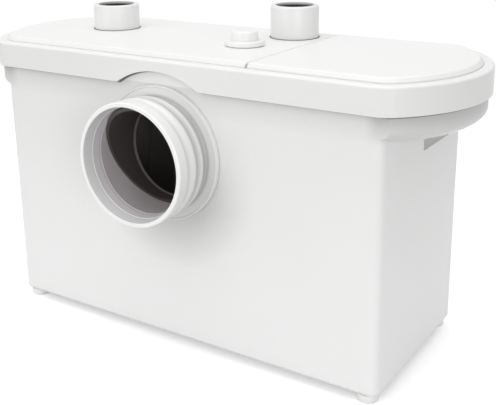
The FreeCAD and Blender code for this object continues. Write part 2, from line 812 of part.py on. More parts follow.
def make_macerator_chamber():
    outer = chamber_tall_block(0, chamber_top_z).fuse(chamber_foot_block(0))
    throat_outer = spigot_inner_bore - throat_clearance
    throat_inner = throat_outer - throat_wall
    throat = ycyl(inlet_x, inlet_z, mouth_y + throat_top_s, chamber_front_y + 1.0, throat_outer)
    low = inlet_z - throat_outer
    high = inlet_z + throat_outer
    x0 = inlet_x - throat_outer - 1.0
    slope = (throat_bottom_s - throat_top_s) / (high - low)
    cut_face = polygon([V(x0, mouth_y, high), V(x0, mouth_y + throat_top_s, high),
                        V(x0, mouth_y + throat_top_s + slope * (high - low), low),
                        V(x0, mouth_y, low)])
    slant = cut_face.extrude(V(2.0 * throat_outer + 2.0, 0, 0))
    outer = outer.fuse(throat.cut(slant))
    inner = chamber_tall_block(chamber_wall, chamber_top_z + 1.0).fuse(chamber_foot_block(chamber_wall))
    chamber = outer.cut(inner)
    throat_end = chamber_front_y + chamber_wall + 1.0
    chamber = chamber.cut(ycyl(inlet_x, inlet_z, mouth_y, throat_end, throat_inner))
    chamber = chamber.cut(zcyl(motor_x, motor_y, foot_box_top_z - chamber_wall - 1.0, foot_box_top_z + 1.0,
                               blade_spacer_radius + 2.0))
    first_x = motor_x - slot_pitch * (slot_count - 1) / 2.0
    for index in range(slot_count):
        x = first_x + slot_pitch * index
        chamber = chamber.cut(box(x - slot_width / 2.0, x + slot_width / 2.0,
                                  foot_box_front_y() - 1.0, foot_box_back_y() + 1.0,
                                  slot_bottom_z, slot_bottom_z + slot_height))
        y = motor_y - slot_pitch * (slot_count - 1) / 2.0 + slot_pitch * index
        chamber = chamber.cut(box(foot_box_right_x() - chamber_wall - 1.0, foot_box_right_x() + 1.0,
                                  y - slot_width / 2.0, y + slot_width / 2.0,
                                  slot_bottom_z, slot_bottom_z + slot_height))
    for x, y in chamber_legs():
        bottom = tank_floor_z + chamber_leg_height
        chamber = chamber.cut(zcyl(x, y, bottom - 1.0, bottom + chamber_wall + 1.0, screw_shank))
    return chamber.removeSplitter()


def screw_down(x, y, seat_z, length):
    shank = zcyl(x, y, seat_z - length, seat_z, screw_shank)
    head = zcyl(x, y, seat_z, seat_z + screw_head_height, screw_head_radius)
    recess = zcyl(x, y, seat_z + 1.2, seat_z + screw_head_height, 1.4)
    return shank.fuse(head).cut(recess)


def screw_up(x, y, seat_z, length):
    shank = zcyl(x, y, seat_z, seat_z + length, screw_shank)
    head = zcyl(x, y, seat_z - screw_head_height, seat_z, screw_head_radius)
    return shank.fuse(head)


def make_chamber_screws():
    seat = tank_floor_z + chamber_leg_height + chamber_wall
    return Part.makeCompound([screw_down(x, y, seat, chamber_screw_length) for x, y in chamber_legs()])


def circle_points(count):
    points = []
    for index in range(count):
        angle = math.radians(screw_start_deg + 360.0 * index / count)
        points.append((motor_x + screw_circle * math.cos(angle), motor_y + screw_circle * math.sin(angle)))
    return points


def make_pump_cover():
    plate = zcyl(motor_x, motor_y, pump_cover_z, volute_z, pump_radius)
    plate = plate.cut(zcyl(motor_x, motor_y, pump_cover_z - 1.0, volute_z + 1.0, suction_eye_radius))
    for index in range(3):
        angle = math.radians(30.0 + 120.0 * index)
        x = motor_x + spacer_circle * math.cos(angle)
        y = motor_y + spacer_circle * math.sin(angle)
        plate = plate.fuse(zcyl(x, y, foot_box_top_z, pump_cover_z + 1.0, spacer_radius))
    for x, y in circle_points(4):
        plate = plate.cut(zcyl(x, y, pump_cover_z - 1.0, volute_z + 1.0, screw_shank))
    return plate.removeSplitter()


def make_pump_volute():
    body = zcyl(motor_x, motor_y, volute_z, volute_top_z, pump_radius)
    spout = xcyl(discharge_y, spout_z, spout_end_x, motor_x, spout_radius)
    body = body.fuse(spout)
    cavity_top = volute_z + pump_cavity_height
    body = body.cut(zcyl(motor_x, motor_y, volute_z - 1.0, cavity_top, pump_cavity_radius))
    throat_x = motor_x - spout_throat_reach
    body = body.cut(xcyl(discharge_y - 3.0, spout_z, throat_x, motor_x, spout_bore - 1.0))
    body = body.cut(xcyl(discharge_y, spout_z, spout_end_x - 1.0, motor_x - spout_bore_reach, spout_bore))
    body = body.cut(zcyl(motor_x, motor_y, volute_z, volute_top_z + 1.0, seal_radius + fit_gap))
    for x, y in circle_points(4):
        body = body.cut(zcyl(x, y, volute_z - 1.0, volute_z + 10.5, screw_shank))
        body = body.cut(zcyl(x, y, volute_top_z - motor_screw_length + flange_thickness - 0.5,
                             volute_top_z + 1.0, screw_shank))
    return body.removeSplitter()


def make_pump_screws():
    return Part.makeCompound([screw_up(x, y, pump_cover_z, pump_screw_length) for x, y in circle_points(4)])


def make_motor_screws():
    screws = [screw_down(x, y, flange_top_z, motor_screw_length) for x, y in circle_points(4)]
    return Part.makeCompound(screws)


def make_impeller():
    z0 = volute_z + impeller_clearance
    disc_z = z0 + impeller_vane_height
    body = zcyl(motor_x, motor_y, disc_z, disc_z + impeller_disc, impeller_radius)
    body = body.fuse(zcyl(motor_x, motor_y, z0, disc_z + impeller_disc + 2.0, impeller_hub_radius))
    for index in range(impeller_vanes):
        vane = box(impeller_hub_radius - 2.0, impeller_radius - 1.0, -impeller_vane_thickness / 2.0,
                   impeller_vane_thickness / 2.0, z0, disc_z + 0.5)
        vane.rotate(V(impeller_hub_radius, 0, 0), V(0, 0, 1), 24.0)
        vane = vane.common(zcyl(0, 0, z0 - 1.0, disc_z + 1.0, impeller_radius - 0.5))
        vane.rotate(V(0, 0, 0), V(0, 0, 1), 360.0 * index / impeller_vanes)
        vane.translate(V(motor_x, motor_y, 0))
        body = body.fuse(vane)
    return body.cut(zcyl(motor_x, motor_y, z0 - 1.0, disc_z + 10.0, shaft_radius)).removeSplitter()


def make_motor_shaft():
    return zcyl(motor_x, motor_y, shaft_bottom_z, shaft_top_z, shaft_radius)


def make_cutter_spacer():
    top = volute_z + impeller_clearance
    return zring(motor_x, motor_y, cutter_z + cutter_thickness, top, shaft_radius, blade_spacer_radius)


def make_cutter_blade():
    half = cutter_radius
    bar = box(-half, half, -cutter_width / 2.0, cutter_width / 2.0, cutter_z, cutter_z + cutter_thickness)
    bar = bar.common(zcyl(0, 0, cutter_z - 1.0, cutter_z + 20.0, cutter_radius))
    tip = 5.0
    for side in (-1, 1):
        ends = sorted([side * (half - tip - 3.0), side * (half - 3.0)])
        bar = bar.fuse(box(ends[0], ends[1], -cutter_width / 2.0 + 1.0, cutter_width / 2.0 - 1.0,
                           cutter_z + 1.0, cutter_z + cutter_thickness + cutter_tip_height))
    bar = bar.cut(zcyl(0, 0, cutter_z - 1.0, cutter_z + 10.0, shaft_radius))
    bar.translate(V(motor_x, motor_y, 0))
    return bar.removeSplitter()


def make_cutter_nut():
    points = []
    for index in range(6):
        angle = math.radians(60.0 * index)
        points.append(V(motor_x + cutter_nut_radius * math.cos(angle),
                        motor_y + cutter_nut_radius * math.sin(angle), cutter_z - cutter_nut_height))
    nut = polygon(points).extrude(V(0, 0, cutter_nut_height))
    return nut.cut(zcyl(motor_x, motor_y, cutter_z - cutter_nut_height - 1.0, cutter_z + 1.0, shaft_radius))


def make_shaft_seal():
    z0 = volute_top_z - pump_plate
    return zring(motor_x, motor_y, z0, z0 + seal_height, shaft_radius + running_gap, seal_radius)


def make_motor_flange():
    body = zcyl(motor_x, motor_y, volute_top_z, flange_top_z, pump_radius)
    body = body.fuse(zcyl(motor_x, motor_y, volute_top_z, lower_bearing_z + bearing_width,
                          bearing_housing_radius))
    body = body.cut(zcyl(motor_x, motor_y, lower_bearing_z, lower_bearing_z + bearing_width + 1.0,
                         bearing_radius + fit_gap))
    body = body.cut(zcyl(motor_x, motor_y, volute_top_z - 1.0, volute_top_z - pump_plate + seal_height,
                         seal_radius + fit_gap))
    body = body.cut(zcyl(motor_x, motor_y, volute_top_z - 1.0, flange_top_z + 1.0, shaft_radius + 1.0))
    for x, y in circle_points(4):
        body = body.cut(zcyl(x, y, volute_top_z - 1.0, flange_top_z + 1.0, screw_shank))
    return body.removeSplitter()


def make_bearing(z0):
    ring = zring(motor_x, motor_y, z0, z0 + bearing_width, shaft_radius + running_gap, bearing_radius)
    for groove_z in (z0 - 1.0, z0 + bearing_width - 1.0):
        groove = zring(motor_x, motor_y, groove_z, groove_z + 2.0, shaft_radius + 3.0, bearing_radius - 3.0)
        ring = ring.cut(groove)
    return ring


def make_motor_can():
    return zring(motor_x, motor_y, flange_top_z, can_top_z, motor_can_radius - motor_can_wall,
                 motor_can_radius)


def make_motor_end_cap():
    cap = zcyl(motor_x, motor_y, can_top_z, can_top_z + end_cap_thickness, motor_can_radius)
    cap = cap.makeFillet(2.0, edges_at_z(cap, can_top_z + end_cap_thickness))
    cap = cap.fuse(zcyl(motor_x, motor_y, upper_bearing_z, can_top_z + 1.0, bearing_housing_radius))
    cap = cap.fuse(zring(motor_x, motor_y, can_top_z - 4.0, can_top_z + 1.0, end_cap_rim_radius,
                         motor_can_radius - motor_can_wall - fit_gap))
    cap = cap.cut(zcyl(motor_x, motor_y, upper_bearing_z - 1.0, upper_bearing_z + bearing_width,
                       bearing_radius + fit_gap))
    return cap.removeSplitter()


def make_stator_core():
    core = zring(motor_x, motor_y, stator_z, stator_z + stator_height, stator_bore,
                 motor_can_radius - motor_can_wall - fit_gap)
    for index in range(12):
        angle = math.radians(30.0 * index)
        x = motor_x + (stator_bore + 6.0) * math.cos(angle)
        y = motor_y + (stator_bore + 6.0) * math.sin(angle)
        core = core.cut(zcyl(x, y, stator_z - 1.0, stator_z + stator_height + 1.0, 3.6))
    return core


def make_stator_windings():
    coils = []
    for z0 in (stator_z - winding_height, stator_z + stator_height):
        coil = zring(motor_x, motor_y, z0, z0 + winding_height, winding_inner, winding_outer)
        outer_z = z0 if z0 < stator_z else z0 + winding_height
        coil = coil.makeFillet(4.0, edges_at_z(coil, outer_z))
        coils.append(coil)
    return Part.makeCompound(coils)


def make_rotor_core():
    return zring(motor_x, motor_y, stator_z, stator_z + stator_height, shaft_radius, rotor_radius)


def bent_tube(r):
    start_x = discharge_x + elbow_bend_radius
    bend_top_z = spout_z + elbow_bend_radius
    level = xcyl(discharge_y, spout_z, start_x, spout_end_x + elbow_overlap, r)
    circle = Part.Wire(Part.Circle(V(start_x, discharge_y, spout_z), V(1, 0, 0), r).toShape())
    bend = Part.Face(circle).revolve(V(start_x, discharge_y, bend_top_z), V(0, 1, 0), 90)
    riser = zcyl(discharge_x, discharge_y, bend_top_z, valve_floor_z, r)
    return level.fuse(bend).fuse(riser)


def make_discharge_elbow():
    outer = bent_tube(spout_radius + elbow_wall)
    inner = bent_tube(spout_radius - elbow_wall)
    elbow = outer.cut(inner)
    elbow = elbow.cut(xcyl(discharge_y, spout_z, spout_end_x, spout_end_x + elbow_overlap + 1.0,
                           spout_radius + fit_gap))
    elbow = elbow.cut(zcyl(discharge_x, discharge_y, valve_spigot_end_z(), valve_floor_z + 1.0,
                           spout_radius + fit_gap))
    return elbow.removeSplitter()


def valve_spigot_end_z():
    return valve_floor_z - elbow_overlap


def make_elbow_clamps():
    inner = spout_radius + elbow_wall + fit_gap
    outer = inner + clamp_thickness
    x0 = spout_end_x + 3.0
    z0 = valve_spigot_end_z() + 3.0
    low = xcyl(discharge_y, spout_z, x0, x0 + clamp_width, outer)
    block = box(x0, x0 + clamp_width, discharge_y - clamp_block / 2.0, discharge_y + clamp_block / 2.0,
                spout_z + inner, spout_z + inner + clamp_block * 0.7)
    low = low.fuse(block).cut(xcyl(discharge_y, spout_z, x0 - 1.0, x0 + clamp_width + 1.0, inner))
    high = zcyl(discharge_x, discharge_y, z0, z0 + clamp_width, outer)
    block = box(discharge_x - inner - clamp_block * 0.7, discharge_x - inner,
                discharge_y - clamp_block / 2.0, discharge_y + clamp_block / 2.0, z0, z0 + clamp_width)
    high = high.fuse(block).cut(zcyl(discharge_x, discharge_y, z0 - 1.0, z0 + clamp_width + 1.0, inner))
    return Part.makeCompound([low, high])


def make_check_valve_body():
    x = discharge_x
    y = discharge_y
    socket_r = discharge_neck_radius + lift_gap + fit_gap
    body = zcyl(x, y, valve_floor_z, valve_top_z + 3.0, valve_radius)
    body = body.fuse(zcyl(x, y, valve_spigot_end_z(), valve_floor_z + 1.0, spout_radius))
    body = body.fuse(zcyl(x, y, valve_top_z, socket_top_z, socket_r + valve_socket_wall))
    body = body.cut(zcyl(x, y, valve_spigot_end_z() - 1.0, valve_seat_z + 1.0, valve_spigot_bore))
    body = body.cut(zcyl(x, y, valve_seat_z, valve_top_z, valve_bore))
    body = body.cut(zcyl(x, y, valve_top_z - 1.0, socket_top_z + 1.0, socket_r))
    seal_z = socket_top_z - 12.0
    body = body.cut(zcyl(x, y, seal_z, seal_z + socket_seal_height, socket_r + socket_seal_depth))
    body = body.cut(ycyl(flap_pivot_x, flap_pivot_z, y - flap_pin_half_length, y + flap_pin_half_length,
                         flap_pin_radius))
    return body.removeSplitter()


def make_socket_seal():
    socket_r = discharge_neck_radius + lift_gap + fit_gap
    seal_z = socket_top_z - 12.0
    return zring(discharge_x, discharge_y, seal_z, seal_z + socket_seal_height,
                 discharge_neck_radius + running_gap, socket_r + socket_seal_depth)


def make_check_flap():
    z0 = valve_seat_z + flap_lift
    z1 = z0 + flap_thickness
    disc = zcyl(discharge_x, discharge_y, z0, z1, flap_radius)
    half = flap_knuckle_width / 2.0
    knuckle = ycyl(flap_pivot_x, flap_pivot_z, discharge_y - half, discharge_y + half, flap_knuckle_radius)
    arm = box(discharge_x + flap_radius * 0.6, flap_pivot_x, discharge_y - half, discharge_y + half, z0, z1)
    flap = disc.fuse(knuckle).fuse(arm)
    hole = ycyl(flap_pivot_x, flap_pivot_z, discharge_y - flap_pin_half_length,
                discharge_y + flap_pin_half_length, flap_pin_radius + running_gap)
    return flap.cut(hole).removeSplitter()


def make_flap_pin():
    return ycyl(flap_pivot_x, flap_pivot_z, discharge_y - flap_pin_half_length,
                discharge_y + flap_pin_half_length, flap_pin_radius)


def make_pressure_bell():
    tube = zring(bell_x, bell_y, bell_bottom_z, switch_bottom_z, bell_radius - bell_wall, bell_radius)
    return tube


def make_switch_housing():
    body = zcyl(bell_x, bell_y, switch_bottom_z, box_bottom_z, switch_radius)
    body = body.cut(zcyl(bell_x, bell_y, diaphragm_z - lift_gap, diaphragm_z + diaphragm_thickness
                         + diaphragm_travel + 0.8, switch_radius - switch_wall))
    body = body.cut(zcyl(bell_x, bell_y, diaphragm_z - 8.0, diaphragm_z, switch_radius - 2.0 * switch_wall))
    body = body.cut(zcyl(bell_x, bell_y, switch_bottom_z - 1.0, diaphragm_z, bell_radius - bell_wall))
    return body.cut(zcyl(bell_x, bell_y, diaphragm_z, box_bottom_z + 1.0, button_radius + 0.4))


def make_switch_diaphragm():
    disc = zcyl(bell_x, bell_y, diaphragm_z, diaphragm_z + diaphragm_thickness,
                switch_radius - switch_wall - 0.4)
    button = zcyl(bell_x, bell_y, diaphragm_z, button_top_z, button_radius)
    return disc.fuse(button).removeSplitter()


def make_switch_plunger():
    z0 = button_top_z + button_gap
    return zcyl(bell_x, bell_y, z0, z0 + plunger_length, plunger_radius)


def make_microswitch():
    z0 = box_bottom_z + microswitch_gap
    body = box(bell_x - microswitch_length / 2.0, bell_x + microswitch_length / 2.0,
               bell_y - microswitch_width / 2.0, bell_y + microswitch_width / 2.0,
               z0 + 1.0, z0 + 1.0 + microswitch_height)
    body = body.cut(zcyl(bell_x, bell_y, z0, z0 + 6.5, plunger_radius + running_gap))
    for side in (-1, 1):
        x = bell_x + side * (microswitch_length / 2.0 - 1.5)
        foot = box(x - 1.5, x + 1.5, bell_y - microswitch_width / 2.0, bell_y + microswitch_width / 2.0,
                   box_bottom_z + box_wall, z0 + 1.5)
        body = body.fuse(foot)
    return body.removeSplitter()


def control_posts():
    inset = box_post_radius
    xs = (box_left_x + inset, box_right_x - inset)
    ys = (box_front_y + inset, box_back_y - inset)
    return [(x, y) for x in xs for y in ys]


def make_control_box():
    outer = box(box_left_x, box_right_x, box_front_y, box_back_y, box_bottom_z, box_top_z)
    outer = outer.makeFillet(3.0, upright_edges(outer))
    inner = box(box_left_x + box_wall, box_right_x - box_wall, box_front_y + box_wall,
                box_back_y - box_wall, box_bottom_z + box_wall, box_top_z + 1.0)
    body = outer.cut(inner)
    for x, y in control_posts():
        body = body.fuse(zcyl(x, y, box_bottom_z + 1.0, box_top_z, box_post_radius))
    body = body.cut(zcyl(bell_x, bell_y, box_bottom_z - 1.0, box_bottom_z + box_wall + 1.0,
                         button_radius + 0.4))
    for x in box_screw_places():
        body = body.cut(ycyl(x, box_screw_z(), box_front_y - 1.0, box_front_y + box_wall + 1.0, screw_shank))
    for x, y in control_posts():
        body = body.cut(zcyl(x, y, box_top_z - lid_screw_length + box_lid_thickness, box_top_z + 1.0,
                             screw_shank))
    return body.removeSplitter()


def make_control_box_lid():
    lid = box(box_left_x, box_right_x, box_front_y, box_back_y, box_top_z, box_top_z + box_lid_thickness)
    lid = lid.makeFillet(3.0, upright_edges(lid))
    for x, y in control_posts():
        lid = lid.cut(zcyl(x, y, box_top_z - 1.0, box_top_z + box_lid_thickness + 1.0, screw_shank))
    return lid


def make_control_lid_screws():
    seat = box_top_z + box_lid_thickness
    return Part.makeCompound([screw_down(x, y, seat, lid_screw_length) for x, y in control_posts()])


def make_control_mount_screws():
    screws = []
    for x in box_screw_places():
        seat = box_front_y + box_wall
        shank = ycyl(x, box_screw_z(), seat - mount_screw_length, seat, screw_shank)
        head = ycyl(x, box_screw_z(), seat, seat + screw_head_height, screw_head_radius)
        screws.append(shank.fuse(head))
    return Part.makeCompound(screws)


def board_z():
    return box_bottom_z + box_wall


def board_back_y():
    return box_back_y - box_wall - board_standoff


def make_circuit_board():
    x0 = bell_x - board_side_offset
    z0 = board_z()
    board = box(x0, x0 + board_length, board_back_y() - board_thickness, board_back_y(), z0,
                z0 + board_height)
    for x in (x0 + 8.0, x0 + board_length - 8.0):
        post = ycyl(x, z0 + board_height - 8.0, board_back_y() - 0.5, box_back_y - box_wall, 2.5)
        board = board.fuse(post)
    return board.removeSplitter()


def make_terminal_block():
    x0 = bell_x - board_side_offset + 6.0
    y1 = board_back_y() - board_thickness
    z0 = board_z() + board_height - terminal_height - 6.0
    block = box(x0, x0 + terminal_length, y1 - terminal_depth, y1, z0, z0 + terminal_height)
    for index in range(4):
        x = x0 + terminal_length * (index + 0.5) / 4.0
        block = block.cut(zcyl(x, y1 - terminal_depth / 2.0, z0 + 5.0, z0 + terminal_height + 1.0, 2.4))
    return block


def make_run_capacitor():
    y = (box_front_y + box_back_y) / 2.0
    z0 = box_bottom_z + box_wall
    can = zcyl(capacitor_x, y, z0, z0 + capacitor_height, capacitor_radius)
    can = can.makeFillet(2.0, edges_at_z(can, z0 + capacitor_height))
    for side in (-1, 1):
        tab = box(capacitor_x + side * 6.0 - 2.0, capacitor_x + side * 6.0 + 2.0, y - 0.5, y + 0.5,
                  z0 + capacitor_height - 1.0, z0 + capacitor_height + 7.0)
        can = can.fuse(tab)
    return can


def hexagon_x(x0, x1, r):
    points = []
    for index in range(6):
        angle = math.radians(60.0 * index)
        points.append(V(x0, gland_y + r * math.cos(angle), gland_z + r * math.sin(angle)))
    return polygon(points).extrude(V(x1 - x0, 0, 0))


def make_cable_gland():
    thread_end = gland_pad_x + gland_pad_thickness + gland_nut_thickness + 2.0
    thread = xcyl(gland_y, gland_z, gland_pad_x - 1.0, thread_end, gland_thread_radius)
    collar = hexagon_x(gland_pad_x - 5.0, gland_pad_x, gland_head_radius)
    head_end = gland_pad_x - gland_head_length
    dome = xcyl(gland_y, gland_z, head_end, gland_pad_x - 4.0, gland_head_radius - 2.5)
    body = thread.fuse(collar).fuse(dome)
    return body.cut(xcyl(gland_y, gland_z, head_end - 1.0, thread_end + 1.0, gland_bore))


def make_gland_nut():
    x0 = gland_pad_x + gland_pad_thickness
    nut = hexagon_x(x0, x0 + gland_nut_thickness, gland_head_radius)
    return nut.cut(xcyl(gland_y, gland_z, x0 - 1.0, x0 + gland_nut_thickness + 1.0,
                        gland_thread_radius + fit_gap))


def make_feet():
    feet = []
    half_x = tank_length / 2.0 - foot_side_inset
    for x in (-half_x, half_x):
        for y in (tank_front_y + foot_face_inset, tank_back_y - foot_face_inset):
            foot = zcyl(x, y, 0.0, foot_height, foot_radius)
            foot = foot.makeFillet(1.2, edges_at_z(foot, 0.0))
            feet.append(foot)
    return Part.makeCompound(feet)


def build():
    os.makedirs("parts", exist_ok=True)
    save("tank", make_tank())
    save("feet", make_feet())
    save("lid_frame", make_lid_frame())
    save("left_deck", make_left_deck())
    save("service_cover", make_service_cover())
    save("lid_gasket", make_lid_gasket())
    save("inlet_spigot", make_inlet_spigot())
    save("inlet_seal", make_inlet_seal())
    save("inlet_backnut", make_inlet_backnut())
    save("top_inlet_tube", make_top_inlet_tube())
    save("top_inlet_seal", make_tube_seal(*tube_places()[0]))
    save("discharge_tube", make_discharge_tube())
    save("discharge_tube_seal", make_tube_seal(*tube_places()[1]))
    save("vent_cap", make_vent_cap())
    save("vent_seal", make_vent_seal())
    save("vent_filter", make_vent_filter())
    save("macerator_chamber", make_macerator_chamber())
    save("chamber_screws", make_chamber_screws())
    save("cutter_blade", make_cutter_blade())
    save("cutter_nut", make_cutter_nut())
    save("cutter_spacer", make_cutter_spacer())
    save("impeller", make_impeller())
    save("pump_cover", make_pump_cover())
    save("pump_volute", make_pump_volute())
    save("pump_screws", make_pump_screws())
    save("shaft_seal", make_shaft_seal())
    save("motor_flange", make_motor_flange())
    save("motor_screws", make_motor_screws())
    save("lower_bearing", make_bearing(lower_bearing_z))
    save("upper_bearing", make_bearing(upper_bearing_z))
    save("motor_can", make_motor_can())
    save("motor_end_cap", make_motor_end_cap())
    save("stator_core", make_stator_core())
    save("stator_windings", make_stator_windings())
    save("rotor_core", make_rotor_core())
    save("motor_shaft", make_motor_shaft())
    save("discharge_elbow", make_discharge_elbow())
    save("elbow_clamps", make_elbow_clamps())
    save("check_valve_body", make_check_valve_body())
    save("socket_seal", make_socket_seal())
    save("check_flap", make_check_flap())
    save("flap_pin", make_flap_pin())
    save("pressure_bell", make_pressure_bell())
    save("switch_housing", make_switch_housing())
    save("switch_diaphragm", make_switch_diaphragm())
    save("switch_plunger", make_switch_plunger())
    save("microswitch", make_microswitch())
    save("control_box", make_control_box())
    save("control_box_lid", make_control_box_lid())
    save("control_lid_screws", make_control_lid_screws())
    save("control_mount_screws", make_control_mount_screws())
    save("circuit_board", make_circuit_board())
    save("terminal_block", make_terminal_block())
    save("run_capacitor", make_run_capacitor())
    save("cable_gland", make_cable_gland())
    save("gland_nut", make_gland_nut())


build()
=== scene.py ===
import math

import bmesh
import bpy
from mathutils import Matrix, Vector


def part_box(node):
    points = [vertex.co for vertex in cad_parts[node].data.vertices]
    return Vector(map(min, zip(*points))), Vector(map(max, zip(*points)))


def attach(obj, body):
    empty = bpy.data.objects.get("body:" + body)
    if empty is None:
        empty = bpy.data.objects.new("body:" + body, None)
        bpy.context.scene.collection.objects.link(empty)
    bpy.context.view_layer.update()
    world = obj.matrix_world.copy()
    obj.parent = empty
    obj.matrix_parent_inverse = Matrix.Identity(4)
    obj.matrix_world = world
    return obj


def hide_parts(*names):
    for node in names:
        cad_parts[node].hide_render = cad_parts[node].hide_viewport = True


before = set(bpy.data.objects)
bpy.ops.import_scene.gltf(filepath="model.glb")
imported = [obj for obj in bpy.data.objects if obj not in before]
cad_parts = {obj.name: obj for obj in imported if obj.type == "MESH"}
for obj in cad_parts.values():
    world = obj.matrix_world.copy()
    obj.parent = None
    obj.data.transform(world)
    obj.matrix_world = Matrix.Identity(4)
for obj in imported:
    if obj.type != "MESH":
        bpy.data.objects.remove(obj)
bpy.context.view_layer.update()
mm = 0.001

# The stage: a pale seamless floor with a white surround, lit by five soft lamps and the room.
# The floor keeps the unit's own shadow and fades to plain white further out.
floor_size = 7.0
floor_colour = (0.88, 0.88, 0.885, 1.0)
floor_lift = 0.36
bounce_colour = (0.5, 0.5, 0.5, 1.0)
shadow_fade = (0.35, 1.1)
room_light = 0.62
plain_white = (1.0, 1.0, 1.0)
lamp_aim = (0.0, 0.0, 0.14)


def feed(tree, socket, value):
    """Links an input to another node's output, or sets it to a plain value."""
    if isinstance(value, bpy.types.NodeSocket):
        tree.links.new(value, socket)
    else:
        socket.default_value = value


def maths(tree, operation, *values):
    """The result of a math node."""
    node = tree.nodes.new("ShaderNodeMath")
    node.operation = operation
    for socket, value in zip(node.inputs, values):
        feed(tree, socket, value)
    return node.outputs["Value"]


def vector_maths(tree, operation, *values):
    """The result of a vector math node: a plain value for a length, or else a vector."""
    node = tree.nodes.new("ShaderNodeVectorMath")
    node.operation = operation
    for socket, value in zip(node.inputs, values):
        feed(tree, socket, value)
    return node.outputs["Value" if operation == "LENGTH" else "Vector"]


def ramp(tree, value, limits, origin=0.0, shape="LINEAR"):
    """A mask that runs from 0 at the first limit to 1 at the second, both measured from the origin."""
    mask = tree.nodes.new("ShaderNodeMapRange")
    mask.interpolation_type = shape
    mask.inputs["From Min"].default_value = origin + limits[0]
    mask.inputs["From Max"].default_value = origin + limits[1]
    tree.links.new(value, mask.inputs["Value"])
    return mask.outputs["Result"]


def object_place(tree):
    """The Object coordinates."""
    return tree.nodes.new("ShaderNodeTexCoord").outputs["Object"]


def plain_shader(tree, kind, **values):
    """The output of a shader with some of its inputs set."""
    shader = tree.nodes.new(kind)
    for label, value in values.items():
        shader.inputs[label].default_value = value
    return shader.outputs[0]


def mix_shaders(tree, share, first, second):
    """Two shaders blended by a share, which is the second one's."""
    blend = tree.nodes.new("ShaderNodeMixShader")
    for socket, value in zip(blend.inputs, (share, first, second)):
        feed(tree, socket, value)
    return blend.outputs["Shader"]


def is_seen(tree):
    """A mask that is 1 for rays that look at something and 0 for light that bounces."""
    path = tree.nodes.new("ShaderNodeLightPath")
    looks = maths(tree, "MAXIMUM", path.outputs["Is Camera Ray"], path.outputs["Is Glossy Ray"])
    return maths(tree, "MAXIMUM", looks, path.outputs["Is Transmission Ray"])


bpy.ops.object.select_all(action="DESELECT")
bpy.ops.mesh.primitive_grid_add(x_subdivisions=8, y_subdivisions=8, size=floor_size, location=(0, 0, 0))
floor = bpy.context.active_object
floor.name = "studio_floor"
floor_paint = bpy.data.materials.new("studio floor")
floor_paint.use_nodes = True
tree = floor_paint.node_tree
tree.nodes.clear()
fade = ramp(tree, vector_maths(tree, "LENGTH", object_place(tree)), shadow_fade, shape="SMOOTHERSTEP")
lifted = tree.nodes.new("ShaderNodeAddShader")
tree.links.new(plain_shader(tree, "ShaderNodeBsdfDiffuse", Color=floor_colour), lifted.inputs[0])
tree.links.new(plain_shader(tree, "ShaderNodeEmission", Strength=floor_lift), lifted.inputs[1])
white = plain_shader(tree, "ShaderNodeEmission")
faded = mix_shaders(tree, fade, lifted.outputs[0], white)
returned = plain_shader(tree, "ShaderNodeBsdfDiffuse", Color=bounce_colour)
output = tree.nodes.new("ShaderNodeOutputMaterial")
tree.links.new(mix_shaders(tree, is_seen(tree), returned, faded), output.inputs["Surface"])
floor.data.materials.append(floor_paint)

room = bpy.data.worlds.new("studio room")
bpy.context.scene.world = room
room.use_nodes = True
tree = room.node_tree
tree.nodes.clear()
glow = plain_shader(tree, "ShaderNodeBackground", Color=(*plain_white, 1.0), Strength=room_light)
backdrop = plain_shader(tree, "ShaderNodeBackground")
output = tree.nodes.new("ShaderNodeOutputWorld")
tree.links.new(mix_shaders(tree, is_seen(tree), glow, backdrop), output.inputs["Surface"])

for name, place, size, power, colour in (
        ("front_softbox", (-0.3, -1.5, 1.5), 1.3, 6.0, (1.0, 0.998, 0.99)),
        ("low_softbox", (-0.5, -1.65, 0.25), 1.0, 3.8, plain_white),
        ("right_softbox", (1.42, -1.2, 0.3), 0.8, 7.4, plain_white),
        ("overhead_softbox", (0.0, 0.1, 1.9), 1.6, 12.8, plain_white),
        ("left_softbox", (-1.5, -1.2, 1.0), 1.2, 2.0, plain_white)):
    light = bpy.data.lights.new(name, "AREA")
    light.shape = "SQUARE"
    light.size = size
    light.energy = power
    light.color = colour
    lamp = bpy.data.objects.new(name, light)
    bpy.context.scene.collection.objects.link(lamp)
    lamp.location = place
    lamp.rotation_euler = (Vector(lamp_aim) - Vector(place)).to_track_quat("-Z", "Y").to_euler()

# The camera stands a little to the right of the front, at about table height, and looks slightly down.
# Its place, turn and lens were worked out from the outlines of the lid, the tank and the spigot.
view_place = (0.44823, -0.63727, 0.40764)
view_turn = 32.752
view_tip = 14.700
view_roll = -0.599
view_lens = 61.91
view_shift = -0.1704
sensor_width = 36.0
nearest_seen = 10.0 * mm
lens = bpy.data.cameras.new("photo lens")
lens.lens = view_lens
lens.sensor_width = sensor_width
lens.shift_y = view_shift
lens.clip_start = nearest_seen
lens.dof.use_dof = False
camera = bpy.data.objects.new("photo_camera", lens)
bpy.context.scene.collection.objects.link(camera)
aim = (Matrix.Rotation(math.radians(view_turn), 4, "Z")
       @ Matrix.Rotation(math.radians(90.0 - view_tip), 4, "X")
       @ Matrix.Rotation(math.radians(view_roll), 4, "Z"))
camera.location = view_place
camera.rotation_euler = aim.to_euler()
bpy.context.scene.camera = camera
bpy.context.scene.view_settings.view_transform = "Standard"
